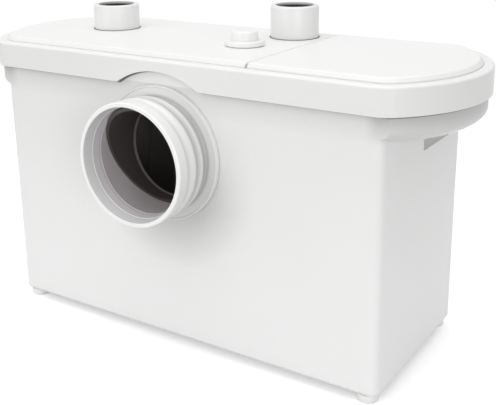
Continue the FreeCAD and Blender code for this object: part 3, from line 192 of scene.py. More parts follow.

# The tank and its four feet: one deep shell of white ABS, injection moulded with a satin skin.
# A thin dark line, a painted shadow, marks where the skirt meets the wall. The wall is painted paler
# towards the floor as painted light, and carries painted shade below the skirt, most of all on the bowls
# at its ends, and below the spigot.


def skin_group(name, inputs):
    """A node group with the given inputs that puts out a skin's colour, roughness and normal."""
    group = bpy.data.node_groups.new(name, "ShaderNodeTree")
    for label, kind, value in inputs:
        socket = group.interface.new_socket(label, in_out="INPUT", socket_type=kind)
        socket.default_value = value
    for label, kind in (("Colour", "NodeSocketColor"), ("Roughness", "NodeSocketFloat"),
                        ("Normal", "NodeSocketVector")):
        group.interface.new_socket(label, in_out="OUTPUT", socket_type=kind)
    return group


def noise(tree, place, scale, detail):
    """The value of a noise texture."""
    texture = tree.nodes.new("ShaderNodeTexNoise")
    for label, value in (("Vector", place), ("Scale", scale), ("Detail", detail)):
        feed(tree, texture.inputs[label], value)
    return texture.outputs["Fac"]


def wire_skin(group, inlet, clouds, sheen, height, distance):
    """Mixes a skin's tones by the clouds, varies its gloss with the sheen and raises its relief."""
    outlet = group.nodes.new("NodeGroupOutput")
    tint = group.nodes.new("ShaderNodeMix")
    tint.data_type = "RGBA"
    feed(group, tint.inputs["Factor"], clouds)
    feed(group, tint.inputs["A"], inlet.outputs["Tone"])
    feed(group, tint.inputs["B"], inlet.outputs["Shade"])
    feed(group, outlet.inputs["Colour"], tint.outputs["Result"])
    rough = maths(group, "MULTIPLY_ADD", sheen, inlet.outputs["Gloss Drift"], inlet.outputs["Gloss"])
    feed(group, outlet.inputs["Roughness"], rough)
    relief = group.nodes.new("ShaderNodeBump")
    feed(group, relief.inputs["Distance"], distance)
    feed(group, relief.inputs["Height"], height)
    feed(group, relief.inputs["Strength"], inlet.outputs["Relief"])
    feed(group, outlet.inputs["Normal"], relief.outputs["Normal"])


cloud_scale = 14.0
sheen_scale = 55.0
moulded_relief = 0.1 * mm
moulded_skin = skin_group("moulded skin", (
    ("Tone", "NodeSocketColor", (0.8, 0.8, 0.8, 1.0)),
    ("Shade", "NodeSocketColor", (0.7, 0.7, 0.7, 1.0)),
    ("Gloss", "NodeSocketFloat", 0.35),
    ("Gloss Drift", "NodeSocketFloat", 0.05),
    ("Grain", "NodeSocketFloat", 1400.0),
    ("Relief", "NodeSocketFloat", 0.06)))
inlet = moulded_skin.nodes.new("NodeGroupInput")
place = object_place(moulded_skin)
wire_skin(moulded_skin, inlet,
          clouds=noise(moulded_skin, place, cloud_scale, 3.0),
          sheen=maths(moulded_skin, "SUBTRACT", noise(moulded_skin, place, sheen_scale, 4.0), 0.5),
          height=noise(moulded_skin, place, inlet.outputs["Grain"], 2.0),
          distance=moulded_relief)


def surface(name, group, values, metallic=0.0, coat=0.0, coat_roughness=0.1, specular=0.5, streaks=None):
    """A material that wears one of the shared skins; streaks stretch the marks of worked metal."""
    material = bpy.data.materials.new(name)
    material.use_nodes = True
    tree = material.node_tree
    shader = tree.nodes["Principled BSDF"]
    skin = tree.nodes.new("ShaderNodeGroup")
    skin.node_tree = group
    for label, value in values.items():
        skin.inputs[label].default_value = value
    if streaks is not None:
        stretched = tree.nodes.new("ShaderNodeMapping")
        stretched.inputs["Scale"].default_value = streaks
        tree.links.new(object_place(tree), stretched.inputs["Vector"])
        tree.links.new(stretched.outputs["Vector"], skin.inputs["Vector"])
    tree.links.new(skin.outputs["Colour"], shader.inputs["Base Color"])
    tree.links.new(skin.outputs["Roughness"], shader.inputs["Roughness"])
    tree.links.new(skin.outputs["Normal"], shader.inputs["Normal"])
    shader.inputs["Metallic"].default_value = metallic
    shader.inputs["Coat Weight"].default_value = coat
    shader.inputs["Coat Roughness"].default_value = coat_roughness
    shader.inputs["Specular IOR Level"].default_value = specular
    return material


def dress(material, *names):
    """Gives carried-over solids their material in every slot."""
    for name in names:
        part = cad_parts[name]
        if not part.material_slots:
            part.data.materials.append(material)
        for slot in part.material_slots:
            slot.material = material


def product(tree, *masks):
    """The product of several masks and plain shares."""
    total = masks[0]
    for mask in masks[1:]:
        total = maths(tree, "MULTIPLY", total, mask)
    return total


def blend_tones(material, base_tones, layers):
    """Lays pairs of colours over a skin's base pair, each through its own mask."""
    tree = material.node_tree
    skin = next(node for node in tree.nodes if node.type == "GROUP")
    for index, label in enumerate(("Tone", "Shade")):
        below = base_tones[index]
        for mask, tones in layers:
            change = tree.nodes.new("ShaderNodeMix")
            change.data_type = "RGBA"
            feed(tree, change.inputs["A"], below)
            feed(tree, change.inputs["B"], tones[index])
            feed(tree, change.inputs["Factor"], mask)
            below = change.outputs["Result"]
        feed(tree, skin.inputs[label], below)


def axis_distance(tree, centre, axis):
    """The distance from a line through the centre along one of the three axes."""
    away = vector_maths(tree, "SUBTRACT", object_place(tree), centre)
    across = vector_maths(tree, "MULTIPLY", away, [0.0 if letter == axis else 1.0 for letter in "XYZ"])
    return vector_maths(tree, "LENGTH", across)


def object_axis(tree, axis):
    """One of the three Object coordinates."""
    split = tree.nodes.new("ShaderNodeSeparateXYZ")
    tree.links.new(object_place(tree), split.inputs["Vector"])
    return split.outputs[axis]


def box_middle(name):
    """The middle of a solid's box."""
    return [(low + high) / 2.0 for low, high in zip(*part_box(name))]


tank_plastic = surface("tank ABS", moulded_skin, {
    "Gloss": 0.36, "Gloss Drift": 0.1, "Grain": 1500.0, "Relief": 0.05})
upper_tones = ((0.862, 0.86, 0.855, 1.0), (0.837, 0.835, 0.83, 1.0))
# Painted light: the lower wall is painted paler, standing in for light thrown up from the floor.
lower_painted_light_tones = ((0.95, 0.948, 0.945, 1.0), (0.93, 0.928, 0.925, 1.0))
# Painted shade for the wall below the skirt, on the bowls at its ends and below the spigot.
painted_shade_tones = ((0.52, 0.52, 0.515, 1.0), (0.50, 0.50, 0.495, 1.0))
# Painted shadow: a thin dark line on the wall just under the skirt's edge and the arch.
painted_shadow_line_tones = ((0.17, 0.17, 0.17, 1.0), (0.15, 0.15, 0.15, 1.0))
skirt_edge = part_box("lid_frame")[0][2]
inlet_x, _, inlet_z = box_middle("inlet_spigot")
arch_radius = 80.3 * mm
arch_centre = (inlet_x, 0.0, inlet_z - 6.1 * mm)
painted_light_heights = (200.0 * mm, 20.0 * mm)
front_limits = (-45.0 * mm, -55.0 * mm)
left_end_limits = (-186.0 * mm, -196.0 * mm)
right_end_limits = (186.0 * mm, 196.0 * mm)
edge_line_limits = (-2.2 * mm, -1.2 * mm)
arch_line_limits = (-1.8 * mm, -0.9 * mm)
hidden_line_limits = (1.5 * mm, 0.7 * mm)
skirt_shade_limits = (-24.0 * mm, -1.0 * mm)
spigot_shade_centre = (inlet_x + 6.0 * mm, 0.0, inlet_z - 16.0 * mm)
spigot_shade_radii = (92.0 * mm, 50.0 * mm)
spigot_shade_limits = (5.0 * mm, -45.0 * mm)
skirt_shade_share, bowl_shade_share, spigot_shade_share = 0.32, 0.85, 0.5
tree = tank_plastic.node_tree
across, height = object_axis(tree, "X"), object_axis(tree, "Z")
from_arch = axis_distance(tree, arch_centre, "Y")
in_front = ramp(tree, object_axis(tree, "Y"), front_limits)
under_edge = ramp(tree, height, hidden_line_limits, skirt_edge)
under_arch = ramp(tree, from_arch, hidden_line_limits, arch_radius)
# Where the painted shadow line lies: just under the skirt's edge and the arch.
painted_shadow_line = product(tree, ramp(tree, height, edge_line_limits, skirt_edge),
                     ramp(tree, from_arch, arch_line_limits, arch_radius))
# Where the painted shade lies: below the skirt, and below the spigot on the front.
skirt_shade_mask = product(tree, ramp(tree, height, skirt_shade_limits, skirt_edge), under_edge)
spigot_shade_mask = product(tree, ramp(tree, axis_distance(tree, spigot_shade_centre, "Y"), spigot_shade_radii),
                       ramp(tree, height, spigot_shade_limits, inlet_z), in_front)
at_left_end = ramp(tree, across, left_end_limits)
at_right_end = ramp(tree, across, right_end_limits)
blend_tones(tank_plastic, upper_tones, (
    (ramp(tree, height, painted_light_heights), lower_painted_light_tones),
    (product(tree, skirt_shade_mask, skirt_shade_share), painted_shade_tones),
    (product(tree, skirt_shade_mask, at_left_end, bowl_shade_share), painted_shade_tones),
    (product(tree, skirt_shade_mask, at_right_end, bowl_shade_share), painted_shade_tones),
    (product(tree, spigot_shade_mask, spigot_shade_share), painted_shade_tones),
    (product(tree, painted_shadow_line, under_edge), painted_shadow_line_tones),
    (product(tree, painted_shadow_line, under_arch, in_front), painted_shadow_line_tones)))
dress(tank_plastic, "tank", "feet")

# The lid: a skirted frame with a flat ledge, and two raised deck panels let into it with a fine seam.
# The same ABS as the tank's from another tool, polished a little more. The decks' rounded edges carry
# painted shade: they are painted a little darker than their tops.
lid_skin = {"Gloss": 0.33, "Gloss Drift": 0.1, "Grain": 1500.0, "Relief": 0.04}
deck_tones = ((0.872, 0.87, 0.865, 1.0), (0.852, 0.85, 0.846, 1.0))
# Painted shade on the decks' rounded edges, toning down their highlight.
deck_edge_shade_tones = ((0.79, 0.788, 0.785, 1.0), (0.77, 0.768, 0.765, 1.0))
deck_edge_limits = (-0.15 * mm, -0.9 * mm)
deck_plastic = surface("lid ABS", moulded_skin, lid_skin)
tree = deck_plastic.node_tree
to_edge = ramp(tree, object_axis(tree, "Z"), deck_edge_limits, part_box("left_deck")[1][2])
blend_tones(deck_plastic, deck_tones, ((to_edge, deck_edge_shade_tones),))
dress(deck_plastic, "left_deck", "service_cover")
dress(surface("lid frame ABS", moulded_skin, {
    "Tone": (0.837, 0.835, 0.83, 1.0), "Shade": (0.817, 0.815, 0.81, 1.0), **lid_skin}), "lid_frame")

# The inlet spigot: a turned-looking moulding with a plain lip, ribs for the sleeve, and a stepped bore.
# It is moulded in the tank's white and clamped through the front wall by a nut. The lip's face carries a
# painted highlight, the grooves between the ribs painted shade, and the bore painted shade that
# deepens in two steps.
spigot_plastic = surface("spigot ABS", moulded_skin, {
    "Gloss": 0.34, "Gloss Drift": 0.08, "Grain": 1300.0, "Relief": 0.05})
spigot_tones = ((0.832, 0.83, 0.826, 1.0), (0.807, 0.805, 0.802, 1.0))
# Painted highlight on the lip's face.
rim_highlight_tones = ((0.95, 0.948, 0.944, 1.0), (0.93, 0.928, 0.924, 1.0))
# Painted shade in the grooves between the ribs.
groove_shade_tones = ((0.56, 0.558, 0.555, 1.0), (0.53, 0.528, 0.525, 1.0))
# Painted shade in the bore, deepening in two steps.
middle_bore_shade_tones = ((0.78, 0.76, 0.78, 1.0), (0.74, 0.72, 0.74, 1.0))
inner_bore_shade_tones = ((0.58, 0.54, 0.55, 1.0), (0.52, 0.48, 0.49, 1.0))
mouth_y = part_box("inlet_spigot")[0][1]
bore_slope = 0.05
bore_limits = (52.1 * mm, 51.8 * mm)
groove_radii = (54.4 * mm, 51.9 * mm)
rim_limits = (1.2 * mm, 0.6 * mm)
groove_limits = (10.6 * mm, 11.6 * mm)
middle_limits = (10.0 * mm, 10.8 * mm)
inner_limits = (17.5 * mm, 21.0 * mm)
tree = spigot_plastic.node_tree
depth = object_axis(tree, "Y")
from_axis = axis_distance(tree, (inlet_x, 0.0, inlet_z), "Y")
slanted_radius = maths(tree, "MULTIPLY_ADD", depth, bore_slope, from_axis)
in_bore = ramp(tree, slanted_radius, bore_limits, bore_slope * mouth_y)
outside = ramp(tree, slanted_radius, bore_limits[::-1], bore_slope * mouth_y)
blend_tones(spigot_plastic, spigot_tones, (
    (ramp(tree, depth, rim_limits, mouth_y), rim_highlight_tones),
    (product(tree, ramp(tree, from_axis, groove_radii), ramp(tree, depth, groove_limits, mouth_y), outside),
     groove_shade_tones),
    (product(tree, in_bore, ramp(tree, depth, middle_limits, mouth_y)), middle_bore_shade_tones),
    (product(tree, in_bore, ramp(tree, depth, inner_limits, mouth_y)), inner_bore_shade_tones)))
dress(spigot_plastic, "inlet_spigot")

# The vent cap and the two tubes that stand on the lid: white polypropylene, a touch waxier than the ABS.
# The tubes' bores are painted dark with painted shade all the way down from just inside the rim.
cap_tones = ((0.85, 0.848, 0.845, 1.0), (0.825, 0.823, 0.82, 1.0))
tube_tones = ((0.79, 0.788, 0.785, 1.0), (0.765, 0.763, 0.76, 1.0))
# Painted shade down the tubes' bores.
bore_shade_tones = ((0.03, 0.03, 0.03, 1.0), (0.045, 0.045, 0.045, 1.0))
tube_skin = {"Gloss": 0.3, "Gloss Drift": 0.12, "Grain": 900.0, "Relief": 0.05}
bore_radii = (22.2 * mm, 21.8 * mm)
bore_dark_limits = (-0.8 * mm, -3.0 * mm)
dress(surface("cap polypropylene", moulded_skin, {
    "Tone": cap_tones[0], "Shade": cap_tones[1], **tube_skin}), "vent_cap")
for name in ("top_inlet_tube", "discharge_tube"):
    tube = surface(name.replace("_", " ") + " polypropylene", moulded_skin, tube_skin)
    tree = tube.node_tree
    inside = ramp(tree, axis_distance(tree, box_middle(name), "Z"), bore_radii)
    below_rim = ramp(tree, object_axis(tree, "Z"), bore_dark_limits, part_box(name)[1][2])
    blend_tones(tube, tube_tones, ((product(tree, inside, below_rim), bore_shade_tones),))
    dress(tube, name)

# The vent's filter: a plug of open charcoal foam, cut from sheet.
# Its cells are about a millimetre wide and show as pits, painted darker where they sink as painted shade.
cells_per_metre = 900.0
pore_depth = 0.5 * mm
foam = bpy.data.materials.new("charcoal foam")
foam.use_nodes = True
tree = foam.node_tree
shader = tree.nodes["Principled BSDF"]
cells = tree.nodes.new("ShaderNodeTexVoronoi")
cells.inputs["Scale"].default_value = cells_per_metre
tree.links.new(object_place(tree), cells.inputs["Vector"])
# Painted shade: the foam is painted darker where its pores sink.
dark = tree.nodes.new("ShaderNodeValToRGB")
dark.color_ramp.elements[0].color = (0.12, 0.12, 0.125, 1.0)
dark.color_ramp.elements[1].color = (0.015, 0.015, 0.016, 1.0)
tree.links.new(cells.outputs["Distance"], dark.inputs["Fac"])
tree.links.new(dark.outputs["Color"], shader.inputs["Base Color"])
pores = tree.nodes.new("ShaderNodeBump")
pores.inputs["Distance"].default_value = pore_depth
pores.invert = True
tree.links.new(cells.outputs["Distance"], pores.inputs["Height"])
tree.links.new(pores.outputs["Normal"], shader.inputs["Normal"])
shader.inputs["Roughness"].default_value = 0.95
dress(foam, "vent_filter")

# Gaskets, seals, the elbow, the flap and the switch membrane: black EPDM rubber.
# Moulded rubber is matt with a faint grey bloom; the seals that show on the lid carry more of it.
rubber = surface("black EPDM", moulded_skin, {
    "Tone": (0.022, 0.022, 0.023, 1.0), "Shade": (0.045, 0.045, 0.047, 1.0),
    "Gloss": 0.68, "Gloss Drift": 0.2, "Grain": 2200.0, "Relief": 0.2}, specular=0.35)
dress(rubber, "lid_gasket", "inlet_seal", "shaft_seal", "discharge_elbow", "socket_seal", "check_flap",
      "switch_diaphragm")
bloomed_rubber = surface("bloomed EPDM", moulded_skin, {
    "Tone": (0.11, 0.11, 0.112, 1.0), "Shade": (0.15, 0.15, 0.152, 1.0),
    "Gloss": 0.7, "Gloss Drift": 0.2, "Grain": 2200.0, "Relief": 0.2}, specular=0.3)
dress(bloomed_rubber, "top_inlet_seal", "discharge_tube_seal", "vent_seal")

# The chamber, the spigot's back nut, the gland and the microswitch: coarse charcoal polypropylene.
# The chamber's throat, which reaches into the spigot, is as dark; the walls behind it are painted a paler
# grey-brown, painted light that brightens the chamber's dim inside.
charcoal_skin = {"Gloss": 0.5, "Gloss Drift": 0.15, "Grain": 800.0, "Relief": 0.15}
charcoal_tones = ((0.060, 0.050, 0.047, 1.0), (0.078, 0.067, 0.065, 1.0))
# Painted light: the walls behind the throat are painted paler than the charcoal.
painted_light_wall_tones = ((0.27, 0.25, 0.243, 1.0), (0.32, 0.30, 0.29, 1.0))
throat_end = -53.5 * mm
throat_limits = (-0.5 * mm, 0.5 * mm)
chamber_plastic = surface("charcoal polypropylene", moulded_skin, {
    "Tone": charcoal_tones[0], "Shade": charcoal_tones[1], **charcoal_skin})
dress(chamber_plastic, "inlet_backnut", "cable_gland", "gland_nut", "microswitch")
chamber_walls = surface("chamber polypropylene", moulded_skin, charcoal_skin)
tree = chamber_walls.node_tree
behind = ramp(tree, object_axis(tree, "Y"), throat_limits, throat_end)
blend_tones(chamber_walls, charcoal_tones, ((behind, painted_light_wall_tones),))
dress(chamber_walls, "macerator_chamber")

# The pump: volute, cover and impeller in glass-filled polypropylene, greyer than the chamber.
# The glass shows as fine pale flecks.
pump_plastic = surface("glass-filled polypropylene", moulded_skin, {
    "Tone": (0.045, 0.046, 0.05, 1.0), "Shade": (0.075, 0.076, 0.08, 1.0),
    "Gloss": 0.46, "Gloss Drift": 0.2, "Grain": 3000.0, "Relief": 0.25})
dress(pump_plastic, "pump_volute", "pump_cover", "impeller")

# Turned and ground steel: shaft, cutter, nut, spacer, screws, clamps and pin.
# Fine tool marks run round the axis, so they are drawn as streaks: long across the height, fine along it.
metal_relief = 0.05 * mm
worked_metal = skin_group("worked metal", (
    ("Vector", "NodeSocketVector", (0.0, 0.0, 0.0)),
    ("Tone", "NodeSocketColor", (0.6, 0.6, 0.6, 1.0)),
    ("Shade", "NodeSocketColor", (0.4, 0.4, 0.4, 1.0)),
    ("Gloss", "NodeSocketFloat", 0.3),
    ("Gloss Drift", "NodeSocketFloat", 0.15),
    ("Relief", "NodeSocketFloat", 0.2)))
inlet = worked_metal.nodes.new("NodeGroupInput")
marks = noise(worked_metal, inlet.outputs["Vector"], 1.0, 3.0)
wire_skin(worked_metal, inlet, clouds=marks, sheen=marks, height=marks, distance=metal_relief)
steel = surface("stainless steel", worked_metal, {
    "Tone": (0.62, 0.62, 0.61, 1.0), "Shade": (0.45, 0.45, 0.45, 1.0),
    "Gloss": 0.2, "Gloss Drift": 0.2, "Relief": 0.3}, metallic=1.0, streaks=(220.0, 220.0, 4200.0))
dress(steel, "motor_shaft", "cutter_blade", "cutter_nut", "cutter_spacer", "chamber_screws", "pump_screws",
      "motor_screws", "elbow_clamps", "flap_pin", "control_lid_screws", "control_mount_screws")

# The two ball bearings: ground chrome steel, brighter and smoother than the screws.
# Their faces are lapped, so the marks are very fine.
bearing_steel = surface("bearing steel", worked_metal, {
    "Tone": (0.66, 0.66, 0.67, 1.0), "Shade": (0.55, 0.55, 0.56, 1.0),
    "Gloss": 0.12, "Gloss Drift": 0.1, "Relief": 0.1}, metallic=1.0, streaks=(500.0, 500.0, 6000.0))
dress(bearing_steel, "lower_bearing", "upper_bearing")

# The motor: aluminium castings below and above a painted steel can, laminated iron and a cast rotor.
# The castings are sand-grey and slightly pitted.
casting = surface("cast aluminium", moulded_skin, {
    "Tone": (0.56, 0.57, 0.58, 1.0), "Shade": (0.44, 0.45, 0.46, 1.0),
    "Gloss": 0.42, "Gloss Drift": 0.25, "Grain": 700.0, "Relief": 0.5}, metallic=1.0)
dress(casting, "motor_flange", "motor_end_cap", "rotor_core")
motor_paint = surface("motor paint", moulded_skin, {
    "Tone": (0.028, 0.031, 0.035, 1.0), "Shade": (0.04, 0.043, 0.047, 1.0),
    "Gloss": 0.32, "Gloss Drift": 0.15, "Grain": 420.0, "Relief": 0.22}, coat=0.3, coat_roughness=0.2)
dress(motor_paint, "motor_can")
laminations = surface("stacked laminations", worked_metal, {
    "Tone": (0.32, 0.32, 0.33, 1.0), "Shade": (0.14, 0.14, 0.15, 1.0),
    "Gloss": 0.35, "Gloss Drift": 0.25, "Relief": 1.0}, metallic=1.0, streaks=(20.0, 20.0, 2600.0))
dress(laminations, "stator_core")

# The stator's end turns: bundles of varnished copper wire above and below the core, laced with cord.
# Each bundle is laid up from rings of wire that wander a little, as hand-tucked turns do.
winding = surface("varnished copper wire", worked_metal, {
    "Tone": (0.55, 0.2, 0.08, 1.0), "Shade": (0.3, 0.09, 0.035, 1.0),
    "Gloss": 0.25, "Gloss Drift": 0.2, "Relief": 1.0}, metallic=0.6, coat=0.5,
    streaks=(900.0, 900.0, 300.0))
lacing_cord = surface("lacing cord", moulded_skin, {
    "Tone": (0.62, 0.58, 0.48, 1.0), "Shade": (0.5, 0.46, 0.36, 1.0),
    "Gloss": 0.8, "Gloss Drift": 0.1, "Grain": 2600.0, "Relief": 0.6})
motor_x, motor_y = box_middle("motor_shaft")[:2]
coil_low, coil_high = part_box("stator_windings")
coil_height = 12.0 * mm
coil_radii = (31.9 * mm, 35.0 * mm, 38.1 * mm, 41.2 * mm)
coil_steps = (-3.9 * mm, 0.0, 3.9 * mm)
coil_wire = 1.8 * mm
coil_sway = 0.45 * mm
coil_ripple = 0.2 * mm
coil_middles = (coil_low[2] + coil_height / 2.0, coil_high[2] - coil_height / 2.0)
lacing_count = 12
lace_loop = 6.35 * mm
lace_thickness = 0.5 * mm


def made_one(name, pieces, material, body):
    """Joins the pieces into one named piece with its place in its mesh, which rides on a body."""
    bpy.ops.object.select_all(action="DESELECT")
    for each in pieces:
        each.select_set(True)
    bpy.context.view_layer.objects.active = pieces[0]
    if len(pieces) > 1:
        bpy.ops.object.join()
    piece = bpy.context.active_object
    bpy.ops.object.transform_apply(location=True, rotation=True, scale=True)
    bpy.ops.object.shade_smooth_by_angle(angle=math.radians(35.0))
    piece.name = name
    piece.data.name = name
    piece.data.materials.clear()
    piece.data.materials.append(material)
    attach(piece, body)
    return piece


turns = []
for coil_middle in coil_middles:
    for ring, radius in enumerate(coil_radii):
        for layer, step in enumerate(coil_steps):
            bpy.ops.object.select_all(action="DESELECT")
            bpy.ops.mesh.primitive_torus_add(
                major_segments=96, minor_segments=10, major_radius=radius, minor_radius=coil_wire,
                location=(motor_x, motor_y, coil_middle + step))
            turn = bpy.context.active_object
            for vertex in turn.data.vertices:
                angle = math.atan2(vertex.co.y, vertex.co.x)
                vertex.co.z += coil_sway * math.sin(6.0 * angle + 1.7 * ring + 2.3 * layer)
                vertex.co.z += coil_ripple * math.sin(11.0 * angle + 0.9 * layer)
            turns.append(turn)
end_turns = made_one("stator_end_turns", turns, winding, "station")
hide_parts("stator_windings")

laces = []
lace_circle = (coil_radii[0] + coil_radii[-1]) / 2.0
for coil_middle in coil_middles:
    for index in range(lacing_count):
        angle = 2.0 * math.pi * (index + 0.5) / lacing_count
        bpy.ops.object.select_all(action="DESELECT")
        bpy.ops.mesh.primitive_torus_add(
            major_segments=28, minor_segments=8, major_radius=lace_loop, minor_radius=lace_thickness,
            location=(motor_x + lace_circle * math.cos(angle), motor_y + lace_circle * math.sin(angle),
                      coil_middle),
            rotation=(math.radians(90.0), 0.0, angle))
        laces.append(bpy.context.active_object)
made_one("stator_lacing", laces, lacing_cord, "station")

# The motor's lead: a grey sheathed cable from the control box's lid to the motor's end cap.
# It passes through a rubber grommet at each end and bows up clear of the can.
sheath = surface("grey PVC sheath", moulded_skin, {
    "Tone": (0.14, 0.145, 0.15, 1.0), "Shade": (0.18, 0.185, 0.19, 1.0),
    "Gloss": 0.42, "Gloss Drift": 0.12, "Grain": 1600.0, "Relief": 0.12})
box_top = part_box("control_box_lid")[1][2]
cap_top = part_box("motor_end_cap")[1][2]
lead_start = (motor_x - 4.0 * mm, -38.0 * mm, box_top)
lead_finish = (motor_x + 8.0 * mm, motor_y - 25.0 * mm, cap_top)
lead_radius = 2.7 * mm
lead_route = (
    (lead_start[0], lead_start[1], box_top - 1.5 * mm),
    (lead_start[0], lead_start[1], box_top + 9.0 * mm),
    (lead_start[0], lead_start[1] + 7.0 * mm, box_top + 15.5 * mm),
    (motor_x + 1.0 * mm, -14.0 * mm, box_top + 14.5 * mm),
    (lead_finish[0], lead_finish[1] - 7.0 * mm, cap_top + 15.5 * mm),
    (lead_finish[0], lead_finish[1], cap_top + 10.0 * mm),
    (lead_finish[0], lead_finish[1], cap_top - 1.5 * mm),
)


def bent_wire(name, route, order, thickness, roundness):
    """A round wire along a route of points, still to be given its body and slot."""
    curve = bpy.data.curves.new(name, "CURVE")
    curve.dimensions = "3D"
    run = curve.splines.new("NURBS")
    run.points.add(len(route) - 1)
    for point, spot in zip(run.points, route):
        point.co = (*spot, 1.0)
    run.order_u = order
    run.use_endpoint_u = True
    curve.bevel_depth = thickness
    curve.bevel_resolution = roundness
    wire = bpy.data.objects.new(name, curve)
    bpy.context.scene.collection.objects.link(wire)
    return wire


motor_lead = bent_wire("motor_lead", lead_route, 3, lead_radius, 6)
motor_lead.data.resolution_u = 14
motor_lead.data.use_fill_caps = True
motor_lead.data.materials.append(sheath)
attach(motor_lead, "station")


def raise_top(solid, steps, bevel):
    """Insets the active solid's top face and raises or sinks it step by step, then rounds its edges."""
    bpy.ops.object.mode_set(mode="EDIT")
    bpy.ops.mesh.select_mode(type="FACE")
    bpy.ops.mesh.select_all(action="DESELECT")
    shape = bmesh.from_edit_mesh(solid.data)
    top = max(shape.faces, key=lambda face: face.calc_center_median().z)
    top.select_set(True)
    shape.faces.active = top
    bmesh.update_edit_mesh(solid.data)
    for inset, rise in steps:
        bpy.ops.mesh.inset(thickness=inset, depth=0.0)
        bpy.ops.mesh.extrude_region_move(TRANSFORM_OT_translate={"value": (0.0, 0.0, rise)})
    bpy.ops.object.mode_set(mode="OBJECT")
    rounding = solid.modifiers.new("rounding", "BEVEL")
    rounding.width = bevel
    rounding.segments = 3
    rounding.limit_method = "ANGLE"
    bpy.ops.object.modifier_apply(modifier=rounding.name)


def upright_blank(radius, height, sides):
    """A cylinder standing on the origin, to be shaped further."""
    bpy.ops.object.select_all(action="DESELECT")
    bpy.ops.mesh.primitive_cylinder_add(vertices=sides, radius=radius, depth=height,
                                        location=(0.0, 0.0, height / 2.0))
    bpy.ops.object.transform_apply(location=True, rotation=True, scale=True)
    return bpy.context.active_object


def stepped_disc(radius, height, sides, steps, bevel):
    """A disc standing on the origin, its top face inset and raised or sunk step by step."""
    disc = upright_blank(radius, height, sides)
    raise_top(disc, steps, bevel)
    return disc


grommets = []
for spot in (lead_start, lead_finish):
    grommet = stepped_disc(5.6 * mm, 1.6 * mm, 40, ((1.2 * mm, 2.2 * mm), (1.3 * mm, -3.0 * mm)), 0.35 * mm)
    grommet.location = spot
    grommets.append(grommet)
made_one("lead_grommets", grommets, rubber, "station")

# The screws of the two hose clamps on the elbow: hexagon heads with a washer face and a driver's recess.
# Each stands out of its clamp's housing and points to the front.
clamp_low, clamp_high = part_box("elbow_clamps")
valve_y = box_middle("check_valve_body")[1]
housing_front = valve_y - 4.0 * mm
clamp_screw_places = (
    (clamp_high[0] - 4.5 * mm, housing_front, clamp_low[2] + 36.1 * mm),
    (clamp_low[0] + 2.8 * mm, housing_front, clamp_high[2] - 4.5 * mm),
)
clamp_heads = []
for spot in clamp_screw_places:
    washer = stepped_disc(2.9 * mm, 0.9 * mm, 28, ((0.5 * mm, 0.01 * mm),), 0.15 * mm)
    hexagon = stepped_disc(2.6 * mm, 3.2 * mm, 6, ((1.0 * mm, -1.4 * mm),), 0.2 * mm)
    for each in (washer, hexagon):
        each.rotation_euler = (math.radians(90.0), 0.0, 0.0)
        each.location = spot
        clamp_heads.append(each)
made_one("clamp_screw_heads", clamp_heads, steel, "station")

# The non-return valve, the air bell, the switch housing and the control box: light grey polypropylene.
# The moulding is unpolished, so it is evenly matt.
grey_plastic = surface("grey polypropylene", moulded_skin, {
    "Tone": (0.30, 0.31, 0.32, 1.0), "Shade": (0.26, 0.27, 0.28, 1.0),
    "Gloss": 0.48, "Gloss Drift": 0.12, "Grain": 1100.0, "Relief": 0.15})
dress(grey_plastic, "check_valve_body", "pressure_bell", "switch_housing", "control_box", "control_box_lid")

# The level switch's plunger: a small red acetal pin.
# It is smooth from the tool, with a faint flow pattern.
acetal = surface("red acetal", moulded_skin, {
    "Tone": (0.42, 0.02, 0.015, 1.0), "Shade": (0.34, 0.015, 0.012, 1.0),
    "Gloss": 0.25, "Gloss Drift": 0.08, "Grain": 1800.0, "Relief": 0.05})
dress(acetal, "switch_plunger")

# The circuit board and its terminal block.
# The board is glass laminate under green solder mask, the block is off-white polyamide.
board_mask = surface("green solder mask", moulded_skin, {
    "Tone": (0.012, 0.09, 0.035, 1.0), "Shade": (0.02, 0.14, 0.055, 1.0),
    "Gloss": 0.25, "Gloss Drift": 0.1, "Grain": 2500.0, "Relief": 0.1}, coat=0.4, coat_roughness=0.12)
dress(board_mask, "circuit_board")
terminal_plastic = surface("terminal polyamide", moulded_skin, {
    "Tone": (0.62, 0.61, 0.56, 1.0), "Shade": (0.55, 0.54, 0.49, 1.0),
    "Gloss": 0.4, "Gloss Drift": 0.1, "Grain": 1500.0, "Relief": 0.1})
dress(terminal_plastic, "terminal_block")

# The parts on the board: a relay, a film capacitor, a smoothing capacitor and a row of resistors.
# Each stands on the board's front face, level with the terminal block's back, clear of the level switch.
board_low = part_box("circuit_board")[0]
board_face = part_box("terminal_block")[1][1]
unit_square_radius = math.sqrt(0.5)
relay_case = surface("relay case", moulded_skin, {
    "Tone": (0.03, 0.031, 0.033, 1.0), "Shade": (0.045, 0.046, 0.05, 1.0),
    "Gloss": 0.3, "Gloss Drift": 0.1, "Grain": 1900.0, "Relief": 0.1})
film_case = surface("film capacitor case", moulded_skin, {
    "Tone": (0.6, 0.4, 0.08, 1.0), "Shade": (0.52, 0.34, 0.06, 1.0),
    "Gloss": 0.34, "Gloss Drift": 0.1, "Grain": 1500.0, "Relief": 0.08})
sleeve = surface("shrink sleeve", moulded_skin, {
    "Tone": (0.02, 0.03, 0.07, 1.0), "Shade": (0.03, 0.045, 0.1, 1.0),
    "Gloss": 0.22, "Gloss Drift": 0.08, "Grain": 1200.0, "Relief": 0.05}, coat=0.3)
resistor_paint = surface("resistor paint", moulded_skin, {
    "Tone": (0.42, 0.33, 0.2, 1.0), "Shade": (0.5, 0.4, 0.25, 1.0),
    "Gloss": 0.3, "Gloss Drift": 0.1, "Grain": 2400.0, "Relief": 0.15})
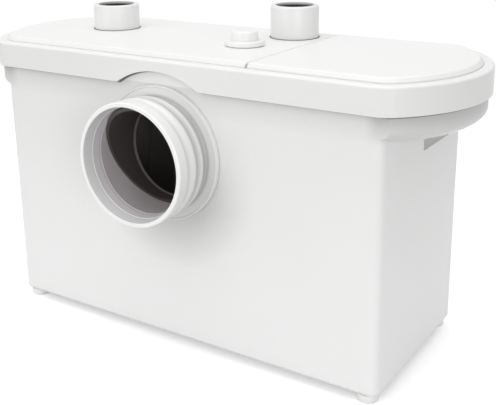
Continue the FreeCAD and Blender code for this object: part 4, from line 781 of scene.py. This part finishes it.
tinned = surface("tinned wire", worked_metal, {
    "Tone": (0.7, 0.7, 0.7, 1.0), "Shade": (0.55, 0.55, 0.56, 1.0),
    "Gloss": 0.25, "Gloss Drift": 0.15, "Relief": 0.1}, metallic=1.0, streaks=(900.0, 900.0, 900.0))


def on_board(piece, across, up, lift=0.0):
    """Turns a piece that stands on the origin so that it stands on the board's front face."""
    piece.rotation_euler = (math.radians(90.0), 0.0, 0.0)
    piece.location = (board_low[0] + across, board_face - lift, board_low[2] + up)
    return piece


def moulded_case(width, depth, height, steps, bevel):
    """A moulded box standing on the origin, its top face inset and raised or sunk step by step."""
    case = upright_blank(unit_square_radius, height, 4)
    case.rotation_euler = (0.0, 0.0, math.radians(45.0))
    bpy.ops.object.transform_apply(location=False, rotation=True, scale=False)
    case.scale = (width, depth, 1.0)
    bpy.ops.object.transform_apply(location=False, rotation=False, scale=True)
    raise_top(case, steps, bevel)
    return case


relay = moulded_case(18.0 * mm, 14.0 * mm, 14.6 * mm, ((0.9 * mm, -0.3 * mm),), 0.5 * mm)
made_one("board_relay", [on_board(relay, 48.0 * mm, 15.0 * mm)], relay_case, "station")
film = moulded_case(12.5 * mm, 5.5 * mm, 8.6 * mm, ((0.5 * mm, -0.2 * mm),), 0.6 * mm)
made_one("board_film_capacitor", [on_board(film, 48.0 * mm, 27.5 * mm)], film_case,
         "station")
can = stepped_disc(4.5 * mm, 9.0 * mm, 36, ((0.8 * mm, -0.35 * mm),), 0.5 * mm)
made_one("board_smoothing_capacitor", [on_board(can, 6.0 * mm, 12.0 * mm)], sleeve,
         "station")

resistor_count = 4
resistor_gap = 2.9 * mm
resistor_across = 17.0 * mm
resistor_up = 21.5 * mm
resistor_lift = 2.0 * mm
resistor_radius = 1.15 * mm
resistor_stretch = 2.2 * mm
still_band = 0.1 * mm
waist_depth = 0.16
waist_width = 1.8 * mm
wire_reach = 5.2 * mm
wire_height = 2.2 * mm
wire_radius = 0.3 * mm
resistor_bodies, resistor_leads = [], []
for index in range(resistor_count):
    bpy.ops.object.select_all(action="DESELECT")
    bpy.ops.mesh.primitive_uv_sphere_add(segments=20, ring_count=14, radius=resistor_radius)
    body = bpy.context.active_object
    for vertex in body.data.vertices:
        if abs(vertex.co.z) > still_band:
            vertex.co.z += math.copysign(resistor_stretch, vertex.co.z)
        waist = 1.0 - waist_depth * math.exp(-(vertex.co.z / waist_width) ** 2)
        vertex.co.x *= waist
        vertex.co.y *= waist
    body.rotation_euler = (0.0, math.radians(90.0), 0.0)
    bpy.ops.object.transform_apply(location=False, rotation=True, scale=False)
    up = resistor_up + index * resistor_gap
    resistor_bodies.append(on_board(body, resistor_across, up, resistor_lift))
    lead = bent_wire("resistor lead", (
        (-wire_reach, 0.0, 0.0), (-wire_reach, 0.0, wire_height),
        (wire_reach, 0.0, wire_height), (wire_reach, 0.0, 0.0)), 2, wire_radius, 3)
    bpy.ops.object.select_all(action="DESELECT")
    lead.select_set(True)
    bpy.context.view_layer.objects.active = lead
    bpy.ops.object.convert(target="MESH")
    resistor_leads.append(on_board(bpy.context.active_object, resistor_across, up))
made_one("board_resistors", resistor_bodies, resistor_paint, "station")
made_one("board_resistor_leads", resistor_leads, tinned, "station")

# The motor's run capacitor: a plain drawn can in a pale plastic case, held upright in the box.
# It is the largest part beside the board.
capacitor_case = surface("capacitor case", moulded_skin, {
    "Tone": (0.5, 0.51, 0.52, 1.0), "Shade": (0.46, 0.47, 0.48, 1.0),
    "Gloss": 0.28, "Gloss Drift": 0.1, "Grain": 900.0, "Relief": 0.06})
dress(capacitor_case, "run_capacitor")
